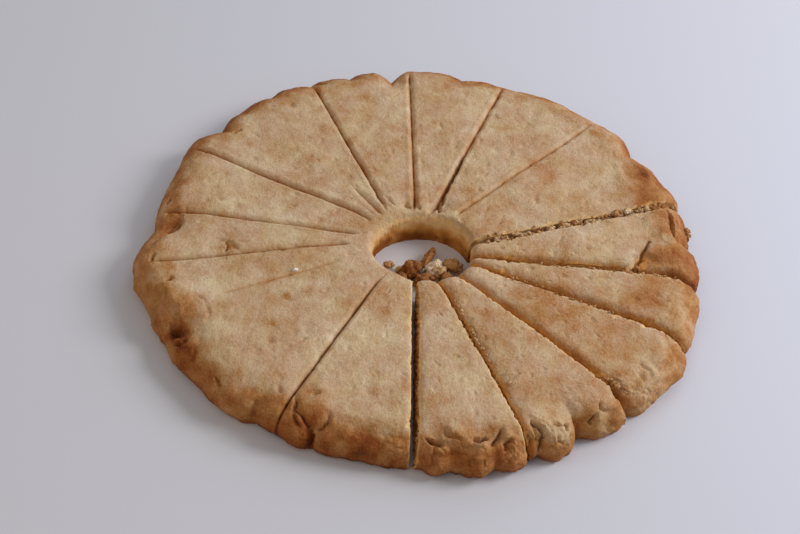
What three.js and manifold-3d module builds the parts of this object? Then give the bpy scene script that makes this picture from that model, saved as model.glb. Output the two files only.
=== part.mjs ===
// A round of baked shortbread with a hole in its middle. Nine knife lines only score the crust, so that
// part of the round is still whole, and six lines go right through and leave five loose slices.
//
// Millimetres, +Z up. The origin is on the table, under the middle of the round. Bearings are measured
// anticlockwise from +X around the cut centre, the point that the knife lines run to.

import * as THREE from 'three';
import { mergeVertices } from 'three/addons/utils/BufferGeometryUtils.js';
import Module from 'manifold-3d';

// Driving dimensions of the round
const ROUND_RADIUS = 114;
const THICKNESS = 14.6;
const CUT_CENTRE = new THREE.Vector2(-3.3, -8.2);

// Rim, a rounded shoulder over a belly that tucks in again at the foot
const RIM_WIDTH = 13;
const SOFT_RIM_WIDTH = 7;
const SOFT_RIM_BEARING = 222;
const SOFT_RIM_SPREAD = 16;
const SHOULDER_ANGLE = THREE.MathUtils.degToRad(62);
const BELLY_HEIGHT = 4.5;
const BELLY = 1.7;
const FOOT_TUCK = 0.5;

// Hole, measured from the cut centre, a little wider than it is deep
const HOLE_RADIUS = 19;
const HOLE_OFFSET = new THREE.Vector2(3.5, 0.8);
const HOLE_STRETCH = 1;
const HOLE_EDGE_DROP = 1.4;
const HOLE_EDGE_WIDTH = 2.5;

// Baked unevenness: how far the crust rises and falls, and how far the rim swells
const CRUST_WAVE = 0.35;
const RIM_WAVE = 0.8;

// Knife lines crowd together at the hole: within this radius they run straight in and their mouths narrow
const CROWDED_RADIUS = 30;

// Mesh steps: degrees between the columns, rings across the flat and over the rim, layers up the sides
const COLUMN_ANGLE = 2.6;
const FLAT_RINGS = 8;
const RIM_RINGS = 6;
const LAYERS = 3;

// Knife lines, anticlockwise from the right. Each one runs in its direction, misses the cut centre by so
// many millimetres to its left and is as wide as its mouth. A depth is a score, which fades at both ends
// of its reach, and a line without one goes right through.
const KNIFE_LINES = {
  right: { direction: 21.6, miss: -4.3, width: 3.6 },
  backRight: { direction: 48.6, miss: 0.9, width: 2.6, depth: 1.3, reach: [24, 116] },
  backMiddle: { direction: 72.0, miss: 0, width: 3.0, depth: 2.4, reach: [20, 119] },
  back: { direction: 94.0, miss: -1.3, width: 3.0, depth: 2.2, reach: [20, 119] },
  backLeft: { direction: 114.9, miss: 2.2, width: 3.2, depth: 2.0, reach: [26, 114] },
  shortMark: { direction: 129.9, miss: -0.8, width: 3.4, depth: 1.2, reach: [20, 46] },
  leftBack: { direction: 155.2, miss: -6.8, width: 3.4, depth: 2.2, reach: [22, 110] },
  left: { direction: 174.9, miss: -3.0, width: 2.8, depth: 1.1, reach: [22, 104] },
  leftFront: { direction: 193.5, miss: -5.0, width: 2.8, depth: 1.4, reach: [24, 106] },
  faint: { direction: 207.0, miss: -2.0, width: 3.0, depth: 0.7, reach: [30, 84] },
  frontLeft: { direction: 246.2, miss: -3.2, width: 2.8, depth: 2.6, reach: [16, 112] },
  front: { direction: 272.0, miss: 1.2, width: 2.8 },
  frontRight: { direction: 293.9, miss: 2.6, width: 1.2 },
  rightFront: { direction: 316.9, miss: 2.6, width: 1.6 },
  rightLower: { direction: 337.9, miss: 2.6, width: 1.6 },
  rightMiddle: { direction: 357.0, miss: -1.1, width: 2.0 },
};

// Where the rim bulges out of the circle or falls short of it: bearing and spread in degrees, swell in mm
const RIM_SWELLS = [
  { bearing: 5, spread: 12, swell: -1.2 },
  { bearing: 50, spread: 16, swell: 0.8 },
  { bearing: 90, spread: 9, swell: 1.8 },
  { bearing: 120, spread: 10, swell: 1.8 },
  { bearing: 168, spread: 11, swell: -4.5 },
  { bearing: 193, spread: 9, swell: 2.2 },
  { bearing: 221, spread: 14, swell: 1.8 },
  { bearing: 261, spread: 9, swell: -1.2 },
  { bearing: 285, spread: 8, swell: 3.6 },
  { bearing: 301, spread: 7, swell: 4 },
  { bearing: 314, spread: 6, swell: 2 },
  { bearing: 328, spread: 9, swell: 3.6 },
  { bearing: 344, spread: 7, swell: 1.5 },
];

// Creases in the rim, where the dough was crimped or has cracked: bearing and spread in degrees, depth in mm
const RIM_CREASES = [
  { bearing: 8.5, spread: 4, depth: 3.5 },
  { bearing: 37.5, spread: 6, depth: 5 },
  { bearing: 81.5, spread: 5, depth: 3.5 },
  { bearing: 97.5, spread: 4, depth: 7 },
  { bearing: 107, spread: 3, depth: 2.5 },
  { bearing: 116.5, spread: 3, depth: 2.5 },
  { bearing: 126, spread: 4, depth: 3 },
  { bearing: 142, spread: 6, depth: 5.5 },
  { bearing: 176, spread: 7, depth: 2 },
  { bearing: 210, spread: 6, depth: 2 },
  { bearing: 239, spread: 3, depth: 1.5 },
  { bearing: 252, spread: 3.5, depth: 2 },
  { bearing: 280, spread: 3, depth: 2 },
  { bearing: 288.5, spread: 3.5, depth: 3 },
  { bearing: 297.5, spread: 3.5, depth: 5 },
  { bearing: 307, spread: 4, depth: 6 },
  { bearing: 319, spread: 3.5, depth: 3.5 },
];

// Lumps and hollows of the crust: bearing in degrees, radius, size across and height in mm
const CRUST_FORMS = [
  { bearing: 211, radius: 101, across: 7, height: -5 },
  { bearing: 177, radius: 98, across: 7, height: -2.5 },
  { bearing: 203, radius: 95, across: 8, height: 1 },
  { bearing: 97, radius: 109, across: 6, height: -3 },
  { bearing: 98, radius: 25, across: 4, height: -1.5 },
  { bearing: 71, radius: 28, across: 5, height: -2 },
  { bearing: 27, radius: 106, across: 12, height: 1 },
  { bearing: 250, radius: 88, across: 5, height: 0.8 },
  { bearing: 251, radius: 100, across: 5, height: -2 },
  { bearing: 277, radius: 98, across: 5, height: -2.5 },
  { bearing: 286, radius: 99, across: 5, height: -2 },
  { bearing: 305, radius: 103, across: 6, height: -2.5 },
  { bearing: 300.6, radius: 77, across: 4, height: 0.7 },
];

// Crack across the outer corner of the first slice: it opens at that slice's lower side and closes inwards
const CRACK = { mouth: [86.4, -9.5], tip: [95.4, 10.5], width: 3.6, floor: 2.5 };

// Pieces, each from one through cut anticlockwise to the next, with the scores that it holds. The lift is
// how much higher or lower than the others a piece has baked.
const PIECES = [
  {
    name: 'scored_round',
    lines: ['right', 'backRight', 'backMiddle', 'back', 'backLeft', 'shortMark', 'leftBack', 'left',
      'leftFront', 'faint', 'frontLeft', 'front'],
    lift: 0,
  },
  { name: 'slice_1', lines: ['rightMiddle', 'right'], lift: 0.5, cracked: true },
  { name: 'slice_2', lines: ['rightLower', 'rightMiddle'], lift: 0.1 },
  { name: 'slice_3', lines: ['rightFront', 'rightLower'], lift: -0.2 },
  { name: 'slice_4', lines: ['frontRight', 'rightFront'], lift: 0.2 },
  { name: 'slice_5', lines: ['front', 'frontRight'], lift: 0.3 },
];

const CRUST_COLOUR = new THREE.Color('#af9170');
const CRUST_ROUGHNESS = 0.85;

const { degToRad, lerp, smoothstep } = THREE.MathUtils;
const wasm = await Module();
wasm.setup();

// Bearing in radians of a knife line where it is so far from the cut centre.
function lineBearing(line, radius) {
  return degToRad(line.direction) + Math.asin(line.miss / Math.max(radius, CROWDED_RADIUS));
}

// Half of the width of a knife line's mouth, as an angle in radians.
function halfMouth(line, radius) {
  return line.width / 2 / Math.max(radius, CROWDED_RADIUS);
}

// Difference of two bearings in radians, between -PI and PI.
function turnBetween(a, b) {
  return Math.atan2(Math.sin(a - b), Math.cos(a - b));
}

// Distance from the cut centre, along a bearing, to a circle whose own centre lies off it.
function reachOfCircle(bearing, radius, offset) {
  const along = offset.x * Math.cos(bearing) + offset.y * Math.sin(bearing);
  return along + Math.sqrt(radius ** 2 - offset.lengthSq() + along ** 2);
}

// Outermost radius of the round: a circle with its swells and waves, drawn in at the creases.
function rimRadius(bearing) {
  let radius = reachOfCircle(bearing, ROUND_RADIUS, CUT_CENTRE.clone().negate());
  radius += RIM_WAVE * Math.sin(17 * bearing + 2.1);
  for (const form of RIM_SWELLS) {
    const away = turnBetween(bearing, degToRad(form.bearing)) / degToRad(form.spread);
    radius += form.swell * Math.exp(-(away ** 2));
  }
  for (const crease of RIM_CREASES) {
    const away = Math.abs(turnBetween(bearing, degToRad(crease.bearing))) / degToRad(crease.spread);
    radius -= crease.depth * Math.max(0, 1 - away) ** 1.5;
  }
  return radius;
}

// Radius of the hole, a circle that is stretched sideways.
function holeRadius(bearing) {
  return reachOfCircle(bearing, HOLE_RADIUS, HOLE_OFFSET) + HOLE_STRETCH * Math.cos(2 * bearing);
}

// Width of the rounded shoulder, broader where the dough slumped.
function rimWidth(bearing) {
  const away = turnBetween(bearing, degToRad(SOFT_RIM_BEARING)) / degToRad(SOFT_RIM_SPREAD);
  return RIM_WIDTH + SOFT_RIM_WIDTH * Math.exp(-(away ** 2));
}

// Depth of the scores at a point: a V that opens to the line's width and fades at the ends of its reach.
function scoreDepth(bearing, radius) {
  let depth = 0;
  for (const line of Object.values(KNIFE_LINES)) {
    if (!line.depth) continue;
    const [start, end] = line.reach;
    const sideways = Math.abs(turnBetween(bearing, lineBearing(line, radius))) / halfMouth(line, radius);
    const fade = smoothstep(radius, start, start + 6) * (1 - smoothstep(radius, end - 8, end));
    depth += line.depth * fade * Math.max(0, 1 - sideways);
  }
  return depth;
}

// Height of the crust away from the rim: long waves, lumps and hollows, the scores and the hole's edge.
function crustHeight(bearing, radius) {
  const x = radius * Math.cos(bearing);
  const y = radius * Math.sin(bearing);
  let height = THICKNESS;
  height += CRUST_WAVE * (Math.sin(x / 11 + 0.5) * Math.cos(y / 13) + Math.sin((x - y) / 19 + 2));
  for (const form of CRUST_FORMS) {
    const centre = new THREE.Vector2(form.radius, 0).rotateAround(new THREE.Vector2(), degToRad(form.bearing));
    const away = centre.distanceTo(new THREE.Vector2(x, y)) / form.across;
    height += form.height * Math.exp(-(away ** 2));
  }
  height -= HOLE_EDGE_DROP * Math.exp(-Math.max(0, radius - holeRadius(bearing)) / HOLE_EDGE_WIDTH);
  return height - scoreDepth(bearing, radius);
}

// Point of the top crust on one ring, from 0 at the hole to 1 at the shoulder above the belly.
function crustPoint(column, ring, lift) {
  const rim = rimRadius(column(ROUND_RADIUS));
  const width = rimWidth(column(ROUND_RADIUS));
  const flatShare = FLAT_RINGS / (FLAT_RINGS + RIM_RINGS);
  const hole = holeRadius(column(HOLE_RADIUS));
  if (ring <= flatShare) {
    const radius = lerp(hole, rim - width, (ring / flatShare) ** 1.15);
    return { radius, height: crustHeight(column(radius), radius) + lift };
  }
  const angle = SHOULDER_ANGLE * (ring - flatShare) / (1 - flatShare);
  const radius = rim - width * (1 - Math.sin(angle));
  const full = crustHeight(column(radius), radius) + lift;
  return { radius, height: full - (full - BELLY_HEIGHT) * (1 - Math.cos(angle)) };
}

// Bearings of the mesh columns of a piece. A column is a function of the radius, so that columns beside a
// knife line follow it, and each score has a column along either lip and one along its floor.
function columnsOf(lines) {
  const beside = (line, side) => (radius) => lineBearing(line, radius) + side * halfMouth(line, radius);
  const columns = [];
  for (let i = 0; i + 1 < lines.length; i++) {
    const from = beside(lines[i], 1);
    const to = beside(lines[i + 1], -1);
    const turn = turnBetween(to(ROUND_RADIUS), from(ROUND_RADIUS));
    const steps = Math.round(turn / degToRad(COLUMN_ANGLE));
    for (let step = 0; step <= steps; step++) {
      columns.push((radius) => from(radius) + turnBetween(to(radius), from(radius)) * step / steps);
    }
    if (i + 2 < lines.length) columns.push(beside(lines[i + 1], 0));
  }
  return columns;
}

// One piece of the round: a box bent round the hole. The box's x runs outwards over the rings, its y
// anticlockwise over the columns and its z up through the layers.
function pieceGeometry(lines, lift) {
  const columns = columnsOf(lines);
  const geometry = new THREE.BoxGeometry(1, 1, 1, FLAT_RINGS + RIM_RINGS, columns.length - 1, LAYERS);
  const position = geometry.attributes.position;
  for (let i = 0; i < position.count; i++) {
    const ring = position.getX(i) + 0.5;
    const column = columns[Math.round((position.getY(i) + 0.5) * (columns.length - 1))];
    const level = position.getZ(i) + 0.5;
    const crust = crustPoint(column, ring, lift);
    const tuck = BELLY * 4 * level * (1 - level) - FOOT_TUCK * (1 - level);
    const radius = crust.radius + tuck * ring ** 6;
    const bearing = column(crust.radius);
    position.setXYZ(i, radius * Math.cos(bearing), radius * Math.sin(bearing), level * crust.height);
  }
  return geometry;
}

// Wedge that opens the crack, from above the crust down to the crack's floor.
function crackGeometry() {
  const mouth = new THREE.Vector2(...CRACK.mouth);
  const tip = new THREE.Vector2(...CRACK.tip);
  const across = tip.clone().sub(mouth).normalize().rotateAround(new THREE.Vector2(), Math.PI / 2);
  const outline = new THREE.Shape([
    mouth.clone().addScaledVector(across, CRACK.width / 2),
    mouth.clone().addScaledVector(across, -CRACK.width / 2),
    tip,
  ]);
  const geometry = new THREE.ExtrudeGeometry(outline, { depth: 2 * THICKNESS, bevelEnabled: false });
  return geometry.translate(0, 0, CRACK.floor);
}

// Closed solid of a geometry, with its shared vertices merged.
function solidOf(geometry) {
  const bare = geometry.clone();
  bare.deleteAttribute('normal');
  bare.deleteAttribute('uv');
  const merged = mergeVertices(bare, 1e-4);
  const vertProperties = new Float32Array(merged.attributes.position.array);
  const triVerts = new Uint32Array(merged.index.array);
  return new wasm.Manifold(new wasm.Mesh({ numProp: 3, vertProperties, triVerts }));
}

// Geometry of one solid with another cut out of it.
function cutOut(geometry, tool) {
  const mesh = solidOf(geometry).subtract(solidOf(tool)).getMesh();
  const cut = new THREE.BufferGeometry();
  cut.setAttribute('position', new THREE.BufferAttribute(mesh.vertProperties, 3));
  cut.setIndex(new THREE.BufferAttribute(mesh.triVerts, 1));
  cut.computeVertexNormals();
  return cut;
}

// Named mesh of one piece.
function pieceMesh({ name, lines, lift, cracked }) {
  const whole = pieceGeometry(lines.map((line) => KNIFE_LINES[line]), lift);
  const geometry = cracked ? cutOut(whole, crackGeometry()) : whole;
  const material = new THREE.MeshStandardMaterial({
    color: CRUST_COLOUR, roughness: CRUST_ROUGHNESS, metalness: 0,
  });
  const mesh = new THREE.Mesh(geometry, material);
  mesh.name = name;
  return mesh;
}

const shortbread = new THREE.Group();
shortbread.position.set(CUT_CENTRE.x, CUT_CENTRE.y, 0);
shortbread.add(...PIECES.map(pieceMesh));

export default shortbread;
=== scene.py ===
"""A baked round of shortbread with a hole in its middle, scored all round and partly cut into loose slices.

Sizes are in millimetres round the cut centre, the point that the knife lines run to. They become metres in
the frame when a mesh is placed. Bearings are in degrees anticlockwise from +X.
"""

import logging
import math
import random
from dataclasses import dataclass, field
from enum import Enum

import bmesh
import bpy
import numpy as np
from mathutils import Matrix, Vector, noise


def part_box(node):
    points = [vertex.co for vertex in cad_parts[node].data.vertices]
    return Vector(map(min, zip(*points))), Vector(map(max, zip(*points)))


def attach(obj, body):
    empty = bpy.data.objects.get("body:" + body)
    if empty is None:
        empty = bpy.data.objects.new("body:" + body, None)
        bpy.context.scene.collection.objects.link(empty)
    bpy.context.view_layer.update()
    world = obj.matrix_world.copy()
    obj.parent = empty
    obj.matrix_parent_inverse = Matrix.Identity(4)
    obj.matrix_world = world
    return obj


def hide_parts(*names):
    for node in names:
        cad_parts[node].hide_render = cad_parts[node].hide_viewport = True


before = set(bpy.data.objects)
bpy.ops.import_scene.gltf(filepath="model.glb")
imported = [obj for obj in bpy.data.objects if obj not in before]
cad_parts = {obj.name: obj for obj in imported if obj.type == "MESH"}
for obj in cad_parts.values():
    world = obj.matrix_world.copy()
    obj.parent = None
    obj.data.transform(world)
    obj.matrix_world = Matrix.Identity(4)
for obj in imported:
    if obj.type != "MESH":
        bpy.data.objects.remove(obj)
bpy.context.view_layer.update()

MM = 0.001
CUT_CENTRE = (-3.3, -8.2)
CROWDED_REACH = 30.0
SEAM_WIDTH = 0.34
RIM_START = (-2, 9)
FLAT_CRUST = (0.2, 0.8)

logging.basicConfig(level=logging.INFO, format="%(message)s")
log = logging.getLogger("shortbread")

Array = np.ndarray


def smooth(value: Array, start: float, end: float) -> Array:
    """Rises smoothly from 0 at the start to 1 at the end.

    Args:
        value: numbers to turn into shares.
        start: value that gives 0.
        end: value that gives 1.

    Returns:
        Shares from 0 to 1.
    """
    share = np.clip((value - start) / (end - start), 0, 1)
    return share * share * (3 - 2 * share)


def turn_between(a: Array, b: Array) -> Array:
    """Difference of two bearings in radians, between -pi and pi."""
    return np.arctan2(np.sin(a - b), np.cos(a - b))


def turn_from(start: Array, end: Array) -> Array:
    """Turn anticlockwise from one bearing to another, up to a whole turn, with a little room below 0."""
    room = 0.3
    return np.maximum(0, np.mod(end - start + room, 2 * math.pi) - room)


def spot(bearing: float, reach: float) -> tuple[float, float]:
    """Plan point at a bearing in degrees and a reach in mm from the cut centre."""
    return reach * math.cos(math.radians(bearing)), reach * math.sin(math.radians(bearing))


def raised(reach: float, bearing: float, up: float) -> tuple[float, float, float]:
    """Place at a reach in mm, a bearing in radians and a height in mm."""
    return reach * math.cos(bearing), reach * math.sin(bearing), up


def roughness(points: Array, size: float, seed: float, octaves: int = 1) -> Array:
    """Smooth random relief with no direction, the same on every run.

    Args:
        points: places in mm, one row of three each.
        size: wavelength in mm.
        seed: picks another pattern of the same kind.
        octaves: how many finer waves are added.

    Returns:
        One value for each place, mostly between -0.5 and 0.5.
    """
    scaled = (points / size + seed).tolist()
    if octaves == 1:
        return np.array([noise.noise(place) for place in scaled])
    return np.array([noise.fractal(place, 0.9, 2.1, octaves) for place in scaled])


@dataclass(frozen=True)
class Wave:
    """Random relief of one size, or a random tint.

    Attributes:
        amount: how high it is in mm, or how much it browns.
        size: wavelength in mm.
        seed: picks another pattern of the same kind.
        octaves: how many finer waves are added.
    """

    amount: float
    size: float
    seed: float
    octaves: int = 1

    def at(self, points: Array) -> Array:
        """Relief at places in mm, one row of three each."""
        return self.amount * roughness(points, self.size, self.seed, self.octaves)


def grains(points: Array, size: float, where: Array) -> Array:
    """Relief of rounded grains of dough pressed together.

    Args:
        points: places in mm, one row of three each.
        size: distance between the grains in mm.
        where: whether each place is wanted.

    Returns:
        Shares from 0 in the seams to 1 on the grains, and 0 where they aren't wanted.
    """
    chosen = np.flatnonzero(where)
    scaled = (points[chosen] / size).tolist()
    nearest = np.array([noise.voronoi(place)[0][:2] for place in scaled]).reshape(-1, 2)
    result = np.zeros(len(points))
    result[chosen] = smooth(nearest[:, 1] - nearest[:, 0], 0.0, SEAM_WIDTH)
    return result


@dataclass(frozen=True)
class KnifeLine:
    """A knife line. A line with no depth goes right through, and a depth is a score.

    Attributes:
        direction: bearing that it runs in, in degrees.
        miss: how far to its left it passes the cut centre.
        width: width of its mouth.
        depth: depth of the score.
        start: reach where the score starts.
        end: reach where the score ends.
        keen: share of the depth that is a thin slit.
        ease: distance over which the score deepens from its start.
    """

    direction: float
    miss: float
    width: float
    depth: float = 0.0
    start: float = 0.0
    end: float = 0.0
    keen: float = 0.35
    ease: float = 6.0

    def bearing(self, reach: Array) -> Array:
        """Bearing in radians of the line at each reach."""
        return math.radians(self.direction) + np.arcsin(self.miss / np.maximum(reach, CROWDED_REACH))

    def bearing_at(self, reach: float) -> float:
        """Bearing in radians of the line at one reach."""
        return float(self.bearing(np.array([reach]))[0])

    def half_mouth(self, reach: Array) -> Array:
        """Half of the mouth's width as an angle in radians, at each reach."""
        return self.width / 2 / np.maximum(reach, CROWDED_REACH)


class Line(Enum):
    """The knife lines, anticlockwise from the right."""

    RIGHT = KnifeLine(21.6, -4.3, 3.6)
    BACK_RIGHT = KnifeLine(48.6, 0.9, 2.6, 1.3, 24, 116, 0.3)
    BACK_MIDDLE = KnifeLine(72.0, 0.0, 3.0, 2.4, 20, 119, 0.12)
    BACK = KnifeLine(94.0, -1.3, 3.0, 2.2, 20, 119, 0.22)
    BACK_LEFT = KnifeLine(114.9, 2.2, 3.2, 2.0, 26, 114, 0.4)
    SHORT_MARK = KnifeLine(129.9, -0.8, 3.4, 1.2, 20, 46)
    LEFT_BACK = KnifeLine(155.2, -6.8, 3.4, 2.6, 22, 110, 0.5)
    LEFT = KnifeLine(174.9, -3.0, 2.8, 1.8, 22, 106, 0.5)
    LEFT_FRONT = KnifeLine(193.5, -5.0, 2.8, 2.0, 24, 108, 0.5)
    FAINT = KnifeLine(207.0, -2.0, 3.0, 0.9, 30, 84)
    FRONT_LEFT = KnifeLine(246.2, -3.2, 2.8, 2.3, 14, 112, 0.7, 26)
    FRONT = KnifeLine(272.0, 1.2, 2.8)
    FRONT_RIGHT = KnifeLine(293.9, 2.6, 1.2)
    RIGHT_FRONT = KnifeLine(316.9, 2.6, 1.6)
    RIGHT_LOWER = KnifeLine(337.9, 2.6, 1.6)
    RIGHT_MIDDLE = KnifeLine(357.0, -1.1, 2.0)


@dataclass(frozen=True)
class RimForm:
    """Something that the rim does over a stretch of its outline.

    Attributes:
        bearing: middle of the stretch, in degrees.
        spread: half of its length, in degrees.
        amount: how far it goes, in mm or as a share.
    """

    bearing: float
    spread: float
    amount: float

    def swell(self, bearing: Array) -> Array:
        """A soft bulge, as large as the amount at its middle."""
        away = turn_between(bearing, math.radians(self.bearing)) / math.radians(self.spread)
        return self.amount * np.exp(-away ** 2)

    def crease(self, bearing: Array) -> Array:
        """A pinch with a sharp bottom, as deep as the amount."""
        away = np.abs(turn_between(bearing, math.radians(self.bearing))) / math.radians(self.spread)
        return self.amount * np.maximum(0, 1 - away) ** 1.5


@dataclass(frozen=True)
class Patch:
    """A soft round spot on the crust: a lump, a hollow or a stain.

    Attributes:
        bearing: bearing of its middle, in degrees.
        reach: reach of its middle.
        across: distance over which it fades.
        amount: its height in mm, or how brown it is.
    """

    bearing: float
    reach: float
    across: float
    amount: float

    def relief(self, x: Array, y: Array) -> Array:
        """Amount of the patch at plan points."""
        centre_x, centre_y = spot(self.bearing, self.reach)
        return self.amount * np.exp(-((x - centre_x) ** 2 + (y - centre_y) ** 2) / self.across ** 2)


Places = tuple[tuple[float, float], ...]


def beside(places: Places, x: Array, y: Array) -> tuple[Array, Array, Array]:
    """Where plan points lie beside a course of straight stretches.

    Args:
        places: the places that the course runs through, each as bearing in degrees and reach in mm.
        x: plan x of the points.
        y: plan y of the points.

    Returns:
        Distance to the course, positive to its left and negative to its right, the share of its length
        at the nearest place, and the plain distance.
    """
    points = np.array([spot(*place) for place in places])
    steps = np.hypot(*np.diff(points, axis=0).T)
    starts = np.concatenate([[0], np.cumsum(steps)])
    nearest = np.full(x.shape, np.inf)
    along = np.zeros(x.shape)
    side = np.ones(x.shape)
    for (ax, ay), (bx, by), length, before in zip(points, points[1:], steps, starts):
        dx, dy = bx - ax, by - ay
        share = np.clip(((x - ax) * dx + (y - ay) * dy) / length ** 2, 0, 1)
        distance = np.hypot(x - ax - share * dx, y - ay - share * dy)
        closer = distance < nearest
        nearest = np.where(closer, distance, nearest)
        along = np.where(closer, (before + share * length) / starts[-1], along)
        side = np.where(closer, np.sign(dx * (y - ay) - dy * (x - ax)), side)
    return side * nearest, along, nearest


@dataclass(frozen=True)
class Slit:
    """A crack or scratch in the crust.

    Attributes:
        places: where it runs.
        width: its width at the crust.
        depth: how deep its middle is.
        taper: share of its length over which each end runs out.
    """

    places: Places
    width: float
    depth: float
    taper: float = 0.25

    def relief(self, x: Array, y: Array) -> Array:
        """Height that the slit takes from the crust.

        Args:
            x: plan x of the points.
            y: plan y of the points.

        Returns:
            Heights in mm, negative.
        """
        _, along, away = beside(self.places, x, y)
        ends = smooth(along, 0, self.taper) * (1 - smooth(along, 1 - self.taper, 1))
        return -self.depth * ends * np.maximum(0, 1 - 2 * away / self.width)


@dataclass(frozen=True)
class Flake:
    """A raised edge of crust, steep at its course and fading to the left of it.

    Attributes:
        places: course of the steep edge, with the raised side on its left.
        rise: height of the edge.
        fade: distance over which the raised side sinks back.
    """

    places: Places
    rise: float
    fade: float

    def relief(self, x: Array, y: Array) -> Array:
        """Height that the flake adds.

        Args:
            x: plan x of the points.
            y: plan y of the points.

        Returns:
            Heights in mm.
        """
        side, along, _ = beside(self.places, x, y)
        ends = smooth(along, 0, 0.2) * (1 - smooth(along, 0.8, 1))
        return self.rise * ends * smooth(side, -0.4, 0.5) * np.exp(-np.maximum(side, 0) / self.fade)


@dataclass(frozen=True)
class Fracture:
    """A crack right into a slice, widest at its mouth.

    Attributes:
        places: where it runs, from its mouth to its tip.
        mouth: its width at the mouth.
        tip: its width at the tip.
        depth: how deep it would be at the mouth.
        shallow: share of that depth that is left there by its crumbly floor.
    """

    places: Places
    mouth: float
    tip: float
    depth: float
    shallow: float = 0.5

    def relief(self, x: Array, y: Array) -> Array:
        """Height that the crack takes from the crust.

        Args:
            x: plan x of the points.
            y: plan y of the points.

        Returns:
            Heights in mm, negative.
        """
        _, along, away = beside(self.places, x, y)
        half = (self.mouth + (self.tip - self.mouth) * along) / 2
        depth = self.depth * (1 - 0.6 * along) * (self.shallow + (1 - self.shallow) * smooth(along, 0, 0.4))
        return -depth * smooth(half - away, -0.25, 0.45)


Mark = Patch | Slit | Flake | Fracture

# Cracks that run back from the hole's edge, and hollows beside the back scores
HOLE_EDGE_MARKS: tuple[Mark, ...] = (
    Slit(((65, 22), (69, 27), (70.4, 33), (71.6, 40), (71.8, 52), (72, 64)), 1.9, 3.2, 0.12),
    Slit(((73.4, 21), (74.6, 25), (72, 29.4), (73.6, 32)), 2.2, 2.4),
    Slit(((94, 23), (98.6, 25.6), (101, 27)), 2.4, 2.0), Slit(((86, 22.6), (89.4, 24.6)), 1.8, 1.6),
    Patch(96.5, 30.4, 1.5, 0.7), Patch(77, 68, 1.6, -0.8), Patch(63, 71.5, 1.6, -0.6),
    Patch(57, 82, 1.6, -0.5), Slit(((110, 24), (113, 29), (117, 33)), 2.0, 1.0),
    Slit(((119, 36), (120, 29), (122, 22)), 2.4, 0.8),
)
# Slits in the rim at the back and on the left
BACK_RIM_MARKS: tuple[Mark, ...] = (
    Slit(((113, 113), (115, 118), (116, 121)), 3.5, 3.0), Slit(((123, 102), (125, 104)), 2.0, 1.2),
    Slit(((169.4, 104.2), (170.8, 106.4)), 2.4, 2.8, 0.2),
    Slit(((139.4, 100.6), (141.1, 102.2), (142.8, 101.6)), 2.4, 1.6),
)
# The notch in the left rim, with its lip and the folds in it
LEFT_NOTCH_MARKS: tuple[Mark, ...] = (
    Flake(((186.6, 106), (185.6, 104.3), (183.1, 100.8), (181.2, 97.2), (179.6, 94.4), (177.4, 93.6),
           (174.6, 94.3), (172.6, 97.5)), -2.4, 9),
    Slit(((185.0, 105.6), (182.3, 101), (180.4, 98), (178.6, 95.6), (176.8, 95.2),
          (174.6, 96)), 2.2, 1.6, 0.1),
    Slit(((174.8, 104), (172.7, 100.4), (171.8, 96.7)), 2.2, 1.8),
    Slit(((175.2, 96.6), (177.6, 97.4), (180.2, 99.6), (181, 103)), 1.8, 1.2),
    Flake(((192.1, 84), (192.9, 94), (193.1, 98.5), (193.6, 102.6), (195.4, 107)), 0.8, 5),
)
# Pinholes and slits in the crust on the left, and the chip beside the left score
LEFT_PIT_MARKS: tuple[Mark, ...] = (
    Patch(158.4, 92, 0.9, -0.8), Patch(157.8, 87.7, 0.9, -0.7), Patch(156.2, 85.9, 0.8, -0.6),
    Patch(168.6, 87.8, 0.9, -0.8), Patch(166.7, 81.5, 0.9, -0.6), Patch(164.8, 76.4, 0.8, -0.6),
    Patch(152.1, 56.3, 1.1, -0.8), Patch(124.4, 101.3, 1.2, -0.9),
    Slit(((196.9, 96.4), (198.7, 100)), 2.2, 2.8, 0.2),
    Slit(((188.4, 102.8), (190.6, 105)), 2.4, 3.0, 0.2),
    Flake(((189.1, 68.2), (184.7, 71.4), (183.3, 74.8), (188.0, 74.0)), -1.1, 2.6),
    Slit(((183.0, 74.8), (188.2, 74.0)), 1.8, 1.6, 0.15),
)
# The flap of dough on the left with the hollow under it
FLAP_MARKS: tuple[Mark, ...] = (
    Flake(((208.4, 101), (206.3, 93.3), (204.9, 91.8), (201.6, 92.4), (199.5, 94.8), (198.4, 98.4),
           (198, 105)), 2.1, 10),
    Slit(((208.6, 104.6), (210.2, 103.8), (211.6, 101.4)), 5.4, 3.2, 0.2),
    Slit(((213.4, 109), (214.4, 107.4), (215.3, 106)), 2.2, 3.0, 0.3),
    Slit(((215.6, 105), (215.0, 103), (214.2, 100.6)), 2.4, 3.2, 0.3), Patch(213.2, 105, 1.5, 1.0),
    Flake(((206.6, 97), (208.3, 99.6), (210.1, 100.3), (212.2, 99.8), (215.4, 98)), 1.3, 8),
    Slit(((203.4, 92), (206.6, 87.6), (211, 88), (215, 92)), 1.8, 0.7),
    Slit(((218, 101), (220, 106), (219, 112)), 2.2, 1.2),
)
# Small slits in the crust at the lower left
LOWER_LEFT_MARKS: tuple[Mark, ...] = (
    Slit(((227, 105.3), (229, 107), (230.6, 108.4)), 2.4, 1.8), Patch(227.5, 106.6, 1.5, 0.7),
    Patch(228.9, 77.5, 1.3, -1.2), Slit(((235.2, 70), (235.4, 68), (236.6, 67.4)), 1.8, 0.8),
    Slit(((240.6, 90.6), (240.9, 93.4), (242.2, 94.6)), 1.8, 1.0),
    Slit(((236.6, 86), (237.4, 88.6)), 1.6, 0.5), Slit(((229.6, 84.6), (230.8, 86.4)), 1.6, 0.5),
    Slit(((237.8, 102), (238.3, 107), (239, 112)), 2.0, 1.6),
)
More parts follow.
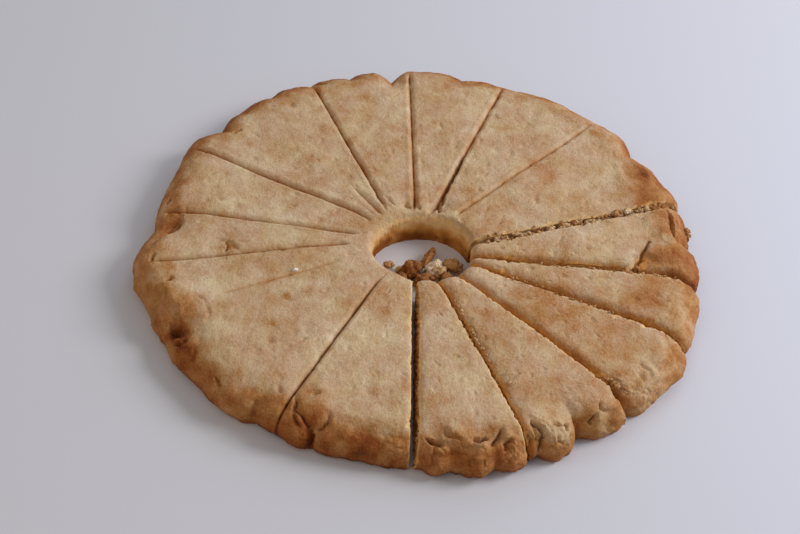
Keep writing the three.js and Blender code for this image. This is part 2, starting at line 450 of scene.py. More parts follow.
# The folded corner beside the front score
FRONT_CORNER_MARKS: tuple[Mark, ...] = (
    Slit(((244.8, 89.4), (245.6, 93), (246.2, 97), (249, 99.6), (251, 102.4), (252.2, 104)), 2.2, 2.6),
    Slit(((252.2, 104.4), (253.6, 101.8), (254.2, 97), (253.6, 93)), 2.2, 2.0),
    Slit(((250.8, 101), (251.4, 106), (252, 114)), 3.4, 4.2),
    Slit(((246.2, 97), (247.2, 102), (249.8, 105.6)), 2.0, 1.8), Patch(248.4, 101.6, 2.6, 1.5),
    Patch(246.6, 106, 3.4, 1.3), Patch(250.2, 95.4, 5.0, 1.3),
    Flake(((246.6, 91.4), (248.6, 88.6), (251, 88)), -0.7, 4),
    Slit(((247.8, 89.4), (249, 88.0), (250.6, 87.8)), 1.8, 1.0),
    Flake(((247.6, 87.6), (249.2, 87.2), (251.4, 85.4)), 0.7, 3),
)
# Pits and folds in the nose of slice 5
SLICE_5_MARKS: tuple[Mark, ...] = (
    Slit(((275.2, 99.4), (276.6, 102.0), (278.8, 102.6)), 3.8, 4.0, 0.15),
    Flake(((278.2, 96.6), (279.6, 99), (280.6, 103)), 0.9, 2.2),
    Slit(((278.7, 95.0), (279.8, 99.6), (281.8, 101.2), (283.0, 101.0)), 2.4, 2.2),
    Slit(((284.3, 100.6), (285.7, 102.6), (287.6, 101.6)), 3.4, 3.6, 0.15), Patch(286.2, 105, 2.2, 0.9),
    Slit(((291.0, 99), (289.8, 103.2), (287.4, 107.4)), 3.2, 3.6, 0.18),
    Slit(((292.0, 104.6), (290.8, 108.4), (290.6, 112)), 4.0, 2.8), Patch(281.6, 108, 5.0, -2.0),
    Patch(284.6, 112, 2.6, 1.2), Patch(284.2, 118, 2.6, 1.2),
    Slit(((276.4, 103), (276.8, 108), (276, 114)), 2.2, 1.2),
)
# Cracks in the nose of slice 4
SLICE_4_MARKS: tuple[Mark, ...] = (
    Slit(((297.2, 100.4), (299.0, 103.6), (299.2, 107.8), (298.4, 111.4), (298.4, 116)), 2.6, 4.0, 0.15),
    Slit(((301.4, 101.4), (302.8, 103.8), (303.0, 105.6)), 2.0, 2.4),
    Slit(((304.0, 103.4), (304.4, 106), (303.6, 109)), 2.0, 2.2),
    Slit(((295.6, 104), (296.6, 108), (296.0, 112.6)), 2.2, 1.8),
    Slit(((301.6, 109), (301.0, 112), (301.8, 116)), 2.0, 1.4), Patch(308.2, 109, 3.6, -1.4),
    Slit(((311.4, 108), (310.0, 111.6), (310.0, 116)), 2.8, 3.6),
    Slit(((313.4, 104), (312.6, 108), (313.2, 111)), 2.0, 1.8),
)
# Slits in slices 3 and 2, and a flake beside the cut of slice 4
SLICE_3_AND_2_MARKS: tuple[Mark, ...] = (
    Slit(((319.6, 97), (319.4, 103), (318.6, 108), (317.6, 113)), 4.0, 2.6),
    Flake(((301.8, 75.4), (302.2, 78.6), (299.8, 80.2), (297.4, 80)), 0.9, 2.5),
    Patch(286.6, 74.5, 0.8, 0.6),
    Slit(((346.6, 96.2), (346.2, 98.6), (347.4, 101.6), (348, 103.8)), 1.8, 0.9),
    Flake(((347.8, 103.6), (347, 100.6), (346.2, 98.8)), 0.4, 2), Patch(343.6, 103.8, 1.0, -0.6),
    Slit(((329.8, 80.6), (329.2, 83), (328.6, 85.6)), 1.6, 0.6),
    Slit(((328.4, 102), (326.8, 105), (327.4, 108), (326.2, 112)), 2.0, 1.0),
    Slit(((324.6, 104), (325.4, 108), (324, 112)), 2.0, 0.8),
)
# The creased corner of slice 1 and the crust above it
RIGHT_CORNER_MARKS: tuple[Mark, ...] = (
    Patch(7.6, 105.6, 2.6, 1.6), Patch(14.6, 120, 8, -2.4),
    Slit(((18.4, 108.6), (16.2, 110.3), (13.7, 109), (11.2, 108), (8.4, 108.4), (6.4, 110.6)), 2.8, 3.0),
    Slit(((12.6, 104.4), (11.6, 108), (12.0, 113)), 1.8, 1.0),
    Flake(((11.4, 103.4), (9.4, 101.4), (7.0, 101.8), (5.2, 104.4)), 0.8, 4),
    Flake(((17.6, 113), (17.2, 104), (15.4, 97), (12.4, 94)), 0.6, 6),
    Flake(((37.4, 107), (33, 103), (29, 101.4), (24, 101), (20.6, 102)), -0.5, 9),
    Slit(((25.2, 38), (26.6, 39.4)), 1.6, 1.0), Patch(203, 49.5, 1.0, 0.4),
)


@dataclass(frozen=True)
class RoundShape:
    """The round as it was baked, before its crust gets its fine marks. It repeats the part's own sizes.

    Attributes:
        radius: radius of the round before its swells.
        thickness: height of the flat crust.
        rim_width: width of the rounded shoulder.
        soft_rim: stretch where the shoulder is broader.
        shoulder_angle: how far round the shoulder goes before the side starts.
        belly_height: height at which the shoulder would stand upright.
        belly: how far the side bulges out.
        foot_tuck: how far its foot is drawn in.
        hole_radius: radius of the hole.
        hole_offset: middle of the hole from the cut centre.
        hole_edge_drop: how far the crust sinks at the hole's edge.
        hole_edge_width: distance over which it sinks.
        crust_wave: height of the crust's broad waves.
        rim_wave: height of the outline's even waves.
        rim_waves: how many of those go round.
        rim_wave_start: where they start, in radians.
        swells: bulges of the outline.
        creases: pinches in the outline.
        forms: broad lumps and hollows of the crust.
    """

    radius: float = 114.0
    thickness: float = 14.6
    rim_width: float = 13.0
    soft_rim: RimForm = RimForm(222, 16, 7.0)
    shoulder_angle: float = math.radians(62)
    belly_height: float = 4.5
    belly: float = 1.7
    foot_tuck: float = 0.5
    hole_radius: float = 19.0
    hole_offset: tuple[float, float] = (3.5, 0.8)
    hole_edge_drop: float = 1.4
    hole_edge_width: float = 2.5
    crust_wave: float = 0.35
    rim_wave: float = 0.8
    rim_waves: int = 17
    rim_wave_start: float = 2.1
    swells: tuple[RimForm, ...] = (
        RimForm(5, 12, -1.2), RimForm(50, 16, 0.8), RimForm(90, 9, 1.8), RimForm(120, 10, 1.8),
        RimForm(168, 11, -4.5), RimForm(193, 9, 2.2), RimForm(221, 14, 1.8), RimForm(261, 9, -1.2),
        RimForm(285, 8, 3.6), RimForm(301, 7, 4), RimForm(314, 6, 2), RimForm(328, 9, 3.6),
        RimForm(344, 7, 1.5),
    )
    creases: tuple[RimForm, ...] = (
        RimForm(8.5, 4, 3.5), RimForm(37.5, 6, 5), RimForm(81.5, 5, 3.5), RimForm(97.5, 4, 7),
        RimForm(107, 3, 2.5), RimForm(116.5, 3, 2.5), RimForm(126, 4, 3), RimForm(142, 6, 5.5),
        RimForm(176, 7, 2), RimForm(210, 6, 2), RimForm(239, 3, 1.5), RimForm(252, 3.5, 2),
        RimForm(280, 3, 2), RimForm(288.5, 3.5, 3), RimForm(297.5, 3.5, 5), RimForm(307, 4, 6),
        RimForm(319, 3.5, 3.5),
    )
    forms: tuple[Patch, ...] = (
        Patch(211, 101, 7, -5), Patch(177, 98, 7, -2.5), Patch(203, 95, 8, 1), Patch(97, 109, 6, -3),
        Patch(98, 25, 4, -1.5), Patch(71, 28, 5, -2), Patch(27, 106, 12, 1), Patch(250, 88, 5, 0.8),
        Patch(251, 100, 5, -2), Patch(277, 98, 5, -2.5), Patch(286, 99, 5, -2), Patch(305, 103, 6, -2.5),
        Patch(300.6, 77, 4, 0.7),
    )

    def reach_of_circle(self, bearing: Array, radius: float, offset: tuple[float, float]) -> Array:
        """Distance from the cut centre, along a bearing, to a circle whose own centre lies off it.

        Args:
            bearing: bearings in radians.
            radius: the circle's radius.
            offset: the circle's centre from the cut centre.

        Returns:
            The distances.
        """
        along = offset[0] * np.cos(bearing) + offset[1] * np.sin(bearing)
        return along + np.sqrt(radius ** 2 - offset[0] ** 2 - offset[1] ** 2 + along ** 2)

    def rim(self, bearing: Array) -> Array:
        """Outermost radius: a circle with its swells and waves, drawn in at the creases.

        Args:
            bearing: bearings in radians.

        Returns:
            The radii.
        """
        radius = self.reach_of_circle(bearing, self.radius, (-CUT_CENTRE[0], -CUT_CENTRE[1]))
        radius = radius + self.rim_wave * np.sin(self.rim_waves * bearing + self.rim_wave_start)
        radius = radius + sum(form.swell(bearing) for form in self.swells)
        return radius - sum(form.crease(bearing) for form in self.creases)

    def hole(self, bearing: Array) -> Array:
        """Radius of the hole, a circle that is stretched sideways."""
        return self.reach_of_circle(bearing, self.hole_radius, self.hole_offset) + np.cos(2 * bearing)

    def shoulder(self, bearing: Array) -> Array:
        """Width of the rounded shoulder, broader where the dough slumped."""
        return self.rim_width + self.soft_rim.swell(bearing)

    def crust(self, bearing: Array, reach: Array) -> Array:
        """Height of the crust away from the rim, without the scores.

        Args:
            bearing: bearings in radians.
            reach: distances from the cut centre.

        Returns:
            Heights in mm.
        """
        x, y = reach * np.cos(bearing), reach * np.sin(bearing)
        wave = np.sin(x / 11 + 0.5) * np.cos(y / 13) + np.sin((x - y) / 19 + 2)
        height = self.thickness + self.crust_wave * wave
        height = height + sum(form.relief(x, y) for form in self.forms)
        beyond = np.maximum(0, reach - self.hole(bearing))
        return height - self.hole_edge_drop * np.exp(-beyond / self.hole_edge_width)

    def surface(self, bearing: Array, reach: Array) -> Array:
        """Height of the plain crust, with the shoulder's fall.

        Args:
            bearing: bearings in radians.
            reach: distances from the cut centre.

        Returns:
            Heights in mm.
        """
        width = self.shoulder(bearing)
        fall = np.arcsin(np.clip((reach - self.rim(bearing) + width) / width, 0, 1))
        full = self.crust(bearing, reach)
        return full - (full - self.belly_height) * (1 - np.cos(fall))


@dataclass(frozen=True)
class CrustMarks:
    """The marks that set this round apart: scores, cracks, flakes and pits.

    Attributes:
        warp: how far the marks wander from their courses, along each axis.
        score_lip: height of the lip beside a score.
        lip_place: where the lip stands, in half widths of the score.
        lip_width: its width, in half widths of the score.
        slit_share: share of a score's width that its thin slit takes.
        score_wander: how far the knife wandered.
        wobble: pattern of the knife's way through the crust.
        score_valley: how far the crust sinks towards a score.
        valley_width: distance over which it sinks.
        wall_share: share of a score's depth that its sloping sides take.
        runout: distance over which a score ends.
        full_dark_depth: depth of the scores whose floor is fully darkened, by browning and painted shade.
        marks: the marks.
    """

    warp: tuple[Wave, Wave] = (Wave(0.9, 3.1, 4.0), Wave(0.9, 3.1, 9.0))
    score_lip: float = 0.22
    lip_place: float = 1.5
    lip_width: float = 0.5
    slit_share: float = 0.5
    score_wander: float = 0.25
    wobble: Wave = Wave(1, 5.0, 3.0, 2)
    score_valley: float = 0.35
    valley_width: float = 3.5
    wall_share: float = 0.5
    runout: float = 8.0
    full_dark_depth: float = 2.4
    marks: tuple[Mark, ...] = (
        HOLE_EDGE_MARKS + BACK_RIM_MARKS + LEFT_NOTCH_MARKS + LEFT_PIT_MARKS + FLAP_MARKS
        + LOWER_LEFT_MARKS + FRONT_CORNER_MARKS + SLICE_5_MARKS + SLICE_4_MARKS
        + SLICE_3_AND_2_MARKS + RIGHT_CORNER_MARKS
    )

    def scores(self, bearing: Array, reach: Array, flat: Array) -> tuple[Array, Array]:
        """Relief of the knife scores.

        Args:
            bearing: bearings in radians.
            reach: distances from the cut centre.
            flat: the same places on the unrolled crust.

        Returns:
            Height that the scores take or add, and the share of a score's floor at each point.
        """
        wobble = self.wobble.at(flat)
        relief = np.zeros(bearing.shape)
        floor = np.zeros(bearing.shape)
        scored = (line.value for line in Line if line.value.depth)
        for line in scored:
            away = turn_between(bearing, line.bearing(reach)) * reach + self.score_wander * wobble
            sideways = np.abs(away) / (line.half_mouth(reach) * reach)
            opens = smooth(reach, line.start, line.start + line.ease)
            fade = opens * (1 - smooth(reach, line.end - self.runout, line.end))
            slit = np.maximum(0, 1 - sideways / self.slit_share)
            groove = self.wall_share * np.maximum(0, 1 - sideways) ** 1.3 + line.keen * slit
            relief -= line.depth * (1 + 0.7 * wobble) * fade * groove
            relief -= self.score_valley * fade * np.exp(-(away / self.valley_width) ** 2)
            relief += self.score_lip * fade * np.exp(-((sideways - self.lip_place) / self.lip_width) ** 2)
            # The floor's share later paints the score darker, partly as painted shade in the groove.
            floor = np.maximum(floor, fade * slit * min(1.0, line.depth / self.full_dark_depth))
        return relief, floor

    def relief(self, points: Array, extra: tuple[Mark, ...]) -> Array:
        """Height of the marks on the unrolled crust.

        Args:
            points: unrolled places in mm, one row of three each.
            extra: marks of this piece alone.

        Returns:
            Heights in mm.
        """
        x = points[:, 0] + self.warp[0].at(points)
        y = points[:, 1] + self.warp[1].at(points)
        return sum(mark.relief(x, y) for mark in self.marks + extra)


@dataclass(frozen=True)
class Baking:
    """Where the oven browned the round, with painted shade on the rim, its side and the score floors, and a
    few patches of painted shade and light. Shares run from 0, pale, to 1, dark brown.

    Attributes:
        base: how brown the crust is on the whole.
        clouds: broad random browning.
        mottle: finer random browning.
        edge_waves: how ragged the browned and shaded band at the rim is.
        band: where that band starts and is full, outwards from the shoulder's start.
        side: the same for the added browning and painted shade of the side.
        side_bake_and_shade: how much darker that makes the side.
        floor_bake_and_shade: how much darker a score's floor is, partly browning and partly painted shade
            in the groove.
        rim_bake_and_shade: how brown the rim is over its stretches, partly its own browning and partly
            painted shade where it faces away from the light.
        patches: browned and pale spots on the crust; a few are painted shade or painted light, as marked.
    """

    base: float = 0.27
    clouds: Wave = Wave(0.16, 21, 2.0, 3)
    mottle: Wave = Wave(0.12, 6.5, 6.0, 2)
    edge_waves: Wave = Wave(5, 9, 1.0, 2)
    band: tuple[float, float] = (-4, 14)
    # The side's added browning is partly painted shade, darkening the lower side all round.
    side: tuple[float, float] = (5, 20)
    side_bake_and_shade: float = 0.2
    # A score's floor is painted darker, partly browning and partly painted shade.
    floor_bake_and_shade: float = 0.4
    # The rim's browning is partly painted shade, darker where the rim faces away from the key light.
    rim_bake_and_shade: tuple[RimForm, ...] = (
        RimForm(275, 30, 0.36), RimForm(312, 20, 0.02), RimForm(245, 16, 0.2), RimForm(222, 20, 0.1),
        RimForm(188, 22, 0.22), RimForm(130, 40, 0.4), RimForm(80, 40, 0.28), RimForm(30, 25, 0.32),
        RimForm(355, 20, 0.26),
    )
    patches: tuple[Patch, ...] = (
        Patch(29, 109, 8, 0.5), Patch(14, 103, 8, 0.24), Patch(22, 108, 6, 0.2), Patch(177, 101, 6, 0.28),
        Patch(211, 102, 6, 0.2), Patch(232, 98, 9, -0.12), Patch(216, 88, 9, -0.12),
        Patch(150, 72, 18, -0.08), Patch(249, 98, 8, 0.14), Patch(262, 106, 9, 0.1),
        Patch(142, 100, 6, 0.15), Patch(305, 104, 7, -0.06), Patch(330, 98, 10, 0.04),
        Patch(303, 90, 8, 0.1), Patch(338.7, 107, 2.5, 0.25), Patch(3, 104, 11, 0.33),
        Patch(347, 90, 9, 0.1), Patch(350, 60, 14, 0.08), Patch(22, 102, 7, 0.26), Patch(330, 55, 12, 0.02),
        Patch(260, 70, 20, -0.03), Patch(5, 75, 20, -0.12), Patch(308, 70, 18, 0.04),
        Patch(240, 60, 18, -0.06), Patch(170, 60, 25, -0.05), Patch(7.3, 104.9, 3.5, -0.3),
        Patch(202, 85, 6, -0.3), Patch(201, 98, 7, 0.1), Patch(205, 96, 5, 0.15), Patch(208.5, 92, 6, 0.12),
        # Patch(211.5, 103.5) and Patch(216.5, 106) darken the hollow under the flap: partly its red-brown
        # colour, partly painted shade in the hollow.
        Patch(211.5, 103.5, 4.5, 0.45), Patch(216.5, 106, 5, 0.3), Patch(213.2, 105, 1.2, -0.3),
        Patch(215.5, 58.4, 1.8, 0.35), Patch(218.6, 50.4, 2.4, 0.16), Patch(224.1, 70.8, 1.3, 0.22),
        Patch(186.2, 72.2, 2.2, 0.34), Patch(222.7, 100.3, 7, -0.16), Patch(230.1, 97.5, 7, -0.14),
        Patch(236, 69, 2.6, 0.12), Patch(78, 85, 16, -0.12), Patch(287, 70, 20, -0.08),
        # Patch(299, 107) and Patch(305, 104) make slice 4's nose paler, and Patch(308, 108) and Patch(313,
        # 108) brown it only a little: partly its own pale lumps, partly painted light where the nose faces
        # away from the light.
        Patch(352, 85, 16, 0.06), Patch(299, 107, 8, -0.1), Patch(308, 108, 5, 0.12),
        # Patch(335, 75, 38, 0.09) is painted shade: it darkens the right-hand slices, which the key light
        # lights most.
        Patch(313, 108, 7, 0.04), Patch(335, 75, 38, 0.09), Patch(356.2, 83.6, 2.6, -0.26),
        Patch(359.2, 86.5, 2.6, -0.3), Patch(2.8, 89.3, 2.6, -0.26), Patch(357.2, 91.0, 2.6, 0.35),
        Patch(282, 109, 6, 0.15),
    )

    def browning(self, points: Array, bearing: Array, to_rim: Array, floor: Array) -> Array:
        """How brown the crust is, with painted shade on the rim, its side and the score floors.

        Args:
            points: unrolled places in mm, one row of three each.
            bearing: bearings in radians.
            to_rim: distance inwards from the shoulder's start, negative beyond it.
            floor: share of a score's floor.

        Returns:
            Shares from 0 to 1.
        """
        brown = self.base + self.clouds.at(points) + self.mottle.at(points)
        brown = brown + sum(patch.relief(points[:, 0], points[:, 1]) for patch in self.patches)
        # The rim's browning and the side's added browning are partly painted shade.
        rim_darkening = sum(form.swell(bearing) for form in self.rim_bake_and_shade)
        ragged = to_rim + self.edge_waves.at(points)
        brown = brown + rim_darkening * smooth(-ragged, *self.band) + self.side_bake_and_shade * smooth(-ragged, *self.side)
        return np.clip(brown + self.floor_bake_and_shade * floor, 0, 1)


@dataclass(frozen=True)
class Dough:
    """How rough the dough baked, on the crust, on the rim and where it is cut.

    Attributes:
        crust: waves of the crust.
        grit: its fine unevenness.
        swell: its broad unevenness.
        sunk: how far all of it lies under the plain form.
        pores: pattern of the pores.
        pore_range: pattern values where pores start and are full.
        pore_depth: their depth.
        bends: what bends the rim's crags, one for each axis.
        puffs: rounded crags of the rim.
        small_puffs: the small ones on them.
        puff_stretch: scale of the puffs along each axis.
        puff_height: height of the crags.
        puff_sunk: how far they lie under the plain form.
        lumps: broad lumps of the rim.
        least_crag: crags of a smooth stretch.
        crag: how craggy the rim is over its stretches.
        crumbly: pattern of the crumbly places of the rim.
        crumbly_range: pattern values where they start and are full.
        rim_grain: distance between the grains there.
        rim_grain_height: height of those grains.
        rim_grain_rest: share of that height that lies in the plain form.
        cut_grain: distance between the grains of a cut wall.
        breaks: pattern of the stretches where a cut is more broken.
        break_least: how broken a clean cut is.
        break_most: how much more the others are.
        sand: pattern of the broken edges.
    """

    crust: Wave = Wave(0.42, 12, 1.0, 3)
    grit: Wave = Wave(0.10, 2.6, 7.0, 2)
    swell: Wave = Wave(0.35, 26.0, 33.0)
    sunk: float = 0.12
    pores: Wave = Wave(1, 3.4, 31.0)
    pore_range: tuple[float, float] = (0.40, 0.60)
    pore_depth: float = 0.45
    bends: tuple[Wave, ...] = (Wave(1.4, 5.0, 15.0), Wave(1.4, 5.0, 16.0), Wave(1.4, 5.0, 17.0))
    puffs: Wave = Wave(1, 7.5, 5.0)
    small_puffs: Wave = Wave(0.22, 3.4, 8.0)
    puff_stretch: tuple[float, float, float] = (1, 1, 0.8)
    puff_height: float = 2.0
    puff_sunk: float = 0.7
    lumps: Wave = Wave(1.7, 13.0, 23.0)
    least_crag: float = 0.25
    crag: tuple[RimForm, ...] = (
        RimForm(290, 36, 0.8), RimForm(205, 30, 0.3), RimForm(0, 40, 0.15), RimForm(324, 12, 0.35),
    )
    crumbly: Wave = Wave(1, 9.0, 29.0)
    crumbly_range: tuple[float, float] = (-0.12, 0.16)
    rim_grain: float = 2.7
    rim_grain_height: float = 0.7
    rim_grain_rest: float = 0.75
    cut_grain: float = 2.5
    breaks: Wave = Wave(1, 14.0, 13.0)
    break_least: float = 0.45
    break_most: float = 1.6
    sand: Wave = Wave(1, 2.6, 11.0, 2)

    def relief(self, flat: Array, solid: Array, bearing: Array, on_rim: Array) -> Array:
        """Relief of the crust and of the rim's crags, along the surface's own normal.

        Args:
            flat: places on the unrolled crust.
            solid: the same places in space.
            bearing: their bearings in radians.
            on_rim: share of the rim, 0 on the flat crust.

        Returns:
            Heights in mm.
        """
        crag = self.least_crag + sum(form.swell(bearing) for form in self.crag)
        relief = self.crust.at(solid) + self.grit.at(solid) - self.sunk
        bent = solid + np.stack([bend.at(solid) for bend in self.bends], axis=1)
        puffs = np.abs(self.puffs.at(bent * self.puff_stretch)) + np.abs(self.small_puffs.at(bent))
        relief += on_rim * crag * (self.puff_height * puffs - self.puff_sunk + self.lumps.at(bent))
        crumbly = on_rim * np.minimum(1, crag) * smooth(self.crumbly.at(solid), *self.crumbly_range)
        grained = grains(bent, self.rim_grain, crumbly > 0.02) - self.rim_grain_rest
        relief += self.rim_grain_height * crumbly * grained
        pores = smooth(self.pores.at(flat), *self.pore_range) * (1 - smooth(on_rim, *FLAT_CRUST))
        return relief + (self.swell.at(flat) - self.pore_depth * pores)

    def broken(self, solid: Array) -> Array:
        """How far a cut edge is broken away at places in space, before its grains."""
        share = self.break_least + self.break_most * np.maximum(0, self.breaks.at(solid) + 0.05)
        return share * np.abs(self.sand.at(solid))


@dataclass(frozen=True)
class Wear:
    """How the edges at the through cuts and round the hole are worn. A width is how far that reaches.

    Attributes:
        seams: how far a cut wall's seams are broken out.
        bite: how far a cut wall is broken away, as a share of how broken it is.
        bite_width: width of that.
        hole_bite: the same share at the hole.
        edge_drop: how far a clean edge lies lower.
        sand_drop: how much lower it lies for how broken it is.
        drop_width: width of both.
        pillow: how far the crust sinks towards a through cut.
        pillow_width: width of that.
        hole_corner: how far the corners at the hole are rounded down.
        hole_corner_width: its widths from the cut and from the hole.
        rim_corner_width: width of the rounded corners at the rim.
        rim_corner: where those start and are full, outwards from the shoulder's start.
        drag_least: least share of the drag.
        drag_waves: how unevenly the knife dragged.
        drag_width: width of the drawn-down edge.
        foot_width: width of a wall's foot.
    """

    seams: float = 0.9
    bite: float = 0.9
    bite_width: float = 5
    hole_bite: float = 0.7
    edge_drop: float = 0.3
    sand_drop: float = 1.1
    drop_width: float = 0.7
    pillow: float = 0.45
    pillow_width: float = 2.6
    hole_corner: float = 1.2
    hole_corner_width: tuple[float, float] = (1.5, 2.5)
    rim_corner_width: float = 3
    rim_corner: tuple[float, float] = (-1, 8)
    drag_least: float = 0.7
    drag_waves: Wave = Wave(1.2, 16.0, 37.0)
    drag_width: float = 1.3
    foot_width: float = 2


@dataclass(frozen=True)
class CutTints:
    """How brown the cut walls and edges are, and where the inner crumb shows.

    Attributes:
        edge_width: distance from a cut over which the inner crumb shows on the crust.
        clean_edge: how much it shows at a clean edge.
        sandy_edge: how much more it shows for how broken the edge is.
        fresh: share of the browning that a fresh edge has lost.
        drawn: how much browner a drawn-down edge is.
        drawn_width: distance over which it is.
        deep: depths at which the inner crumb starts to show and is bare.
        base_bake: how much browner the foot of every side is.
        base_rise: heights where that is full and ends.
        hole_bake: how brown the foot of the hole's wall is.
        hole_rise: heights where that is full and ends.
        wall_rise: the same for the cut walls.
        crumb_bake: how brown the crumb is on the whole.
        crumb_waves: random browning of the crumb.
        seam_bake: how much browner its seams are.
    """

    edge_width: float = 0.9
    clean_edge: float = 0.5
    sandy_edge: float = 2.0
    fresh: float = 0.6
    drawn: float = 0.16
    drawn_width: float = 1.2
    deep: tuple[float, float] = (1.6, 3.2)
    base_bake: float = 0.2
    base_rise: tuple[float, float] = (0.5, 5)
    hole_bake: float = 0.8
    hole_rise: tuple[float, float] = (1.5, 11.5)
    wall_rise: tuple[float, float] = (0.0, 7.5)
    crumb_bake: float = 0.12
    crumb_waves: Wave = Wave(0.35, 5.0, 19.0, 2)
    seam_bake: float = 0.2


@dataclass(frozen=True)
class Edges:
    """How near each point of a piece is to its edges, and how broken the dough is there.

    Attributes:
        from_start: distance from the clockwise cut.
        to_end: distance from the other cut.
        from_hole: distance from the hole's edge.
        seams: share of a seam between the grains of a cut wall.
        sand: how far the dough is broken away.
    """

    from_start: Array
    to_end: Array
    from_hole: Array
    seams: Array
    sand: Array

    @property
    def from_cut(self) -> Array:
        """Distance from the nearer cut."""
        return np.minimum(self.from_start, self.to_end)


@dataclass(frozen=True)
class Surface:
    """The points of one piece on its plain profile, before their relief, one value for each point.

    Attributes:
        ring: share of the way from the hole to the rim.
        level: share of the way up, 1 on the crust.
        rim: reach of the rim along the point's column.
        hole: reach of the hole's edge along it.
        width: width of the shoulder along it.
        angle: how far round the shoulder the point lies, in radians.
        bearing: bearing in radians.
        reach: distance from the cut centre.
        side_reach: the same, with the belly of the side.
        full: height of the crust without the shoulder's fall.
        height: height of the crust over the point.
    """

    ring: Array
    level: Array
    rim: Array
    hole: Array
    width: Array
    angle: Array
    bearing: Array
    reach: Array
    side_reach: Array
    full: Array
    height: Array

    @property
    def on_top(self) -> Array:
        """Whether each point lies on the crust."""
        return self.level >= 1

    @property
    def on_side(self) -> Array:
        """Whether it lies on the round's outer side."""
        return (self.ring >= 1) & ~self.on_top

    @property
    def inner(self) -> Array:
        """Whether it lies on the hole's wall, a cut wall or the base."""
        return ~self.on_top & ~self.on_side

    @property
    def cut_wall(self) -> Array:
        """Whether it lies on a cut wall."""
        return self.inner & (self.ring > 0) & (self.ring < 1)

    @property
    def past_shoulder(self) -> Array:
        """Distance outwards from the shoulder's start."""
        return self.reach - (self.rim - self.width)

    @property
    def on_rim(self) -> Array:
        """Share of the rim, 0 on the flat crust and 1 down the side."""
        return smooth(self.past_shoulder, *RIM_START)

    @property
    def unrolled(self) -> Array:
        """Reach along the crust, so that marks run on over the shoulder and down the rim.

        Returns:
            Distances in mm.
        """
        drop = self.full - self.level * self.height
        over_edge = np.where(self.level < 1, 0, self.full - self.height)
        return self.reach + np.where(self.ring >= 1, drop, over_edge)

    def flat(self) -> Array:
        """Places on the unrolled crust.

        Returns:
            One row of three for each point.
        """
        east = self.unrolled * np.cos(self.bearing)
        north = self.unrolled * np.sin(self.bearing)
        return np.stack([east, north, 0 * self.reach], axis=1)

    def solid(self) -> Array:
        """Places in space.

        Returns:
            One row of three for each point.
        """
        east = self.side_reach * np.cos(self.bearing)
        north = self.side_reach * np.sin(self.bearing)
        return np.stack([east, north, self.level * self.height], axis=1)

    def tilt(self, belly_height: float) -> Array:
        """How far the surface leans outwards at each point, in radians, for the height of the belly."""
        slope = np.arctan2((self.full - belly_height) * np.sin(self.angle), self.width * np.cos(self.angle))
        return np.where(self.level < 1, math.pi / 2, slope)


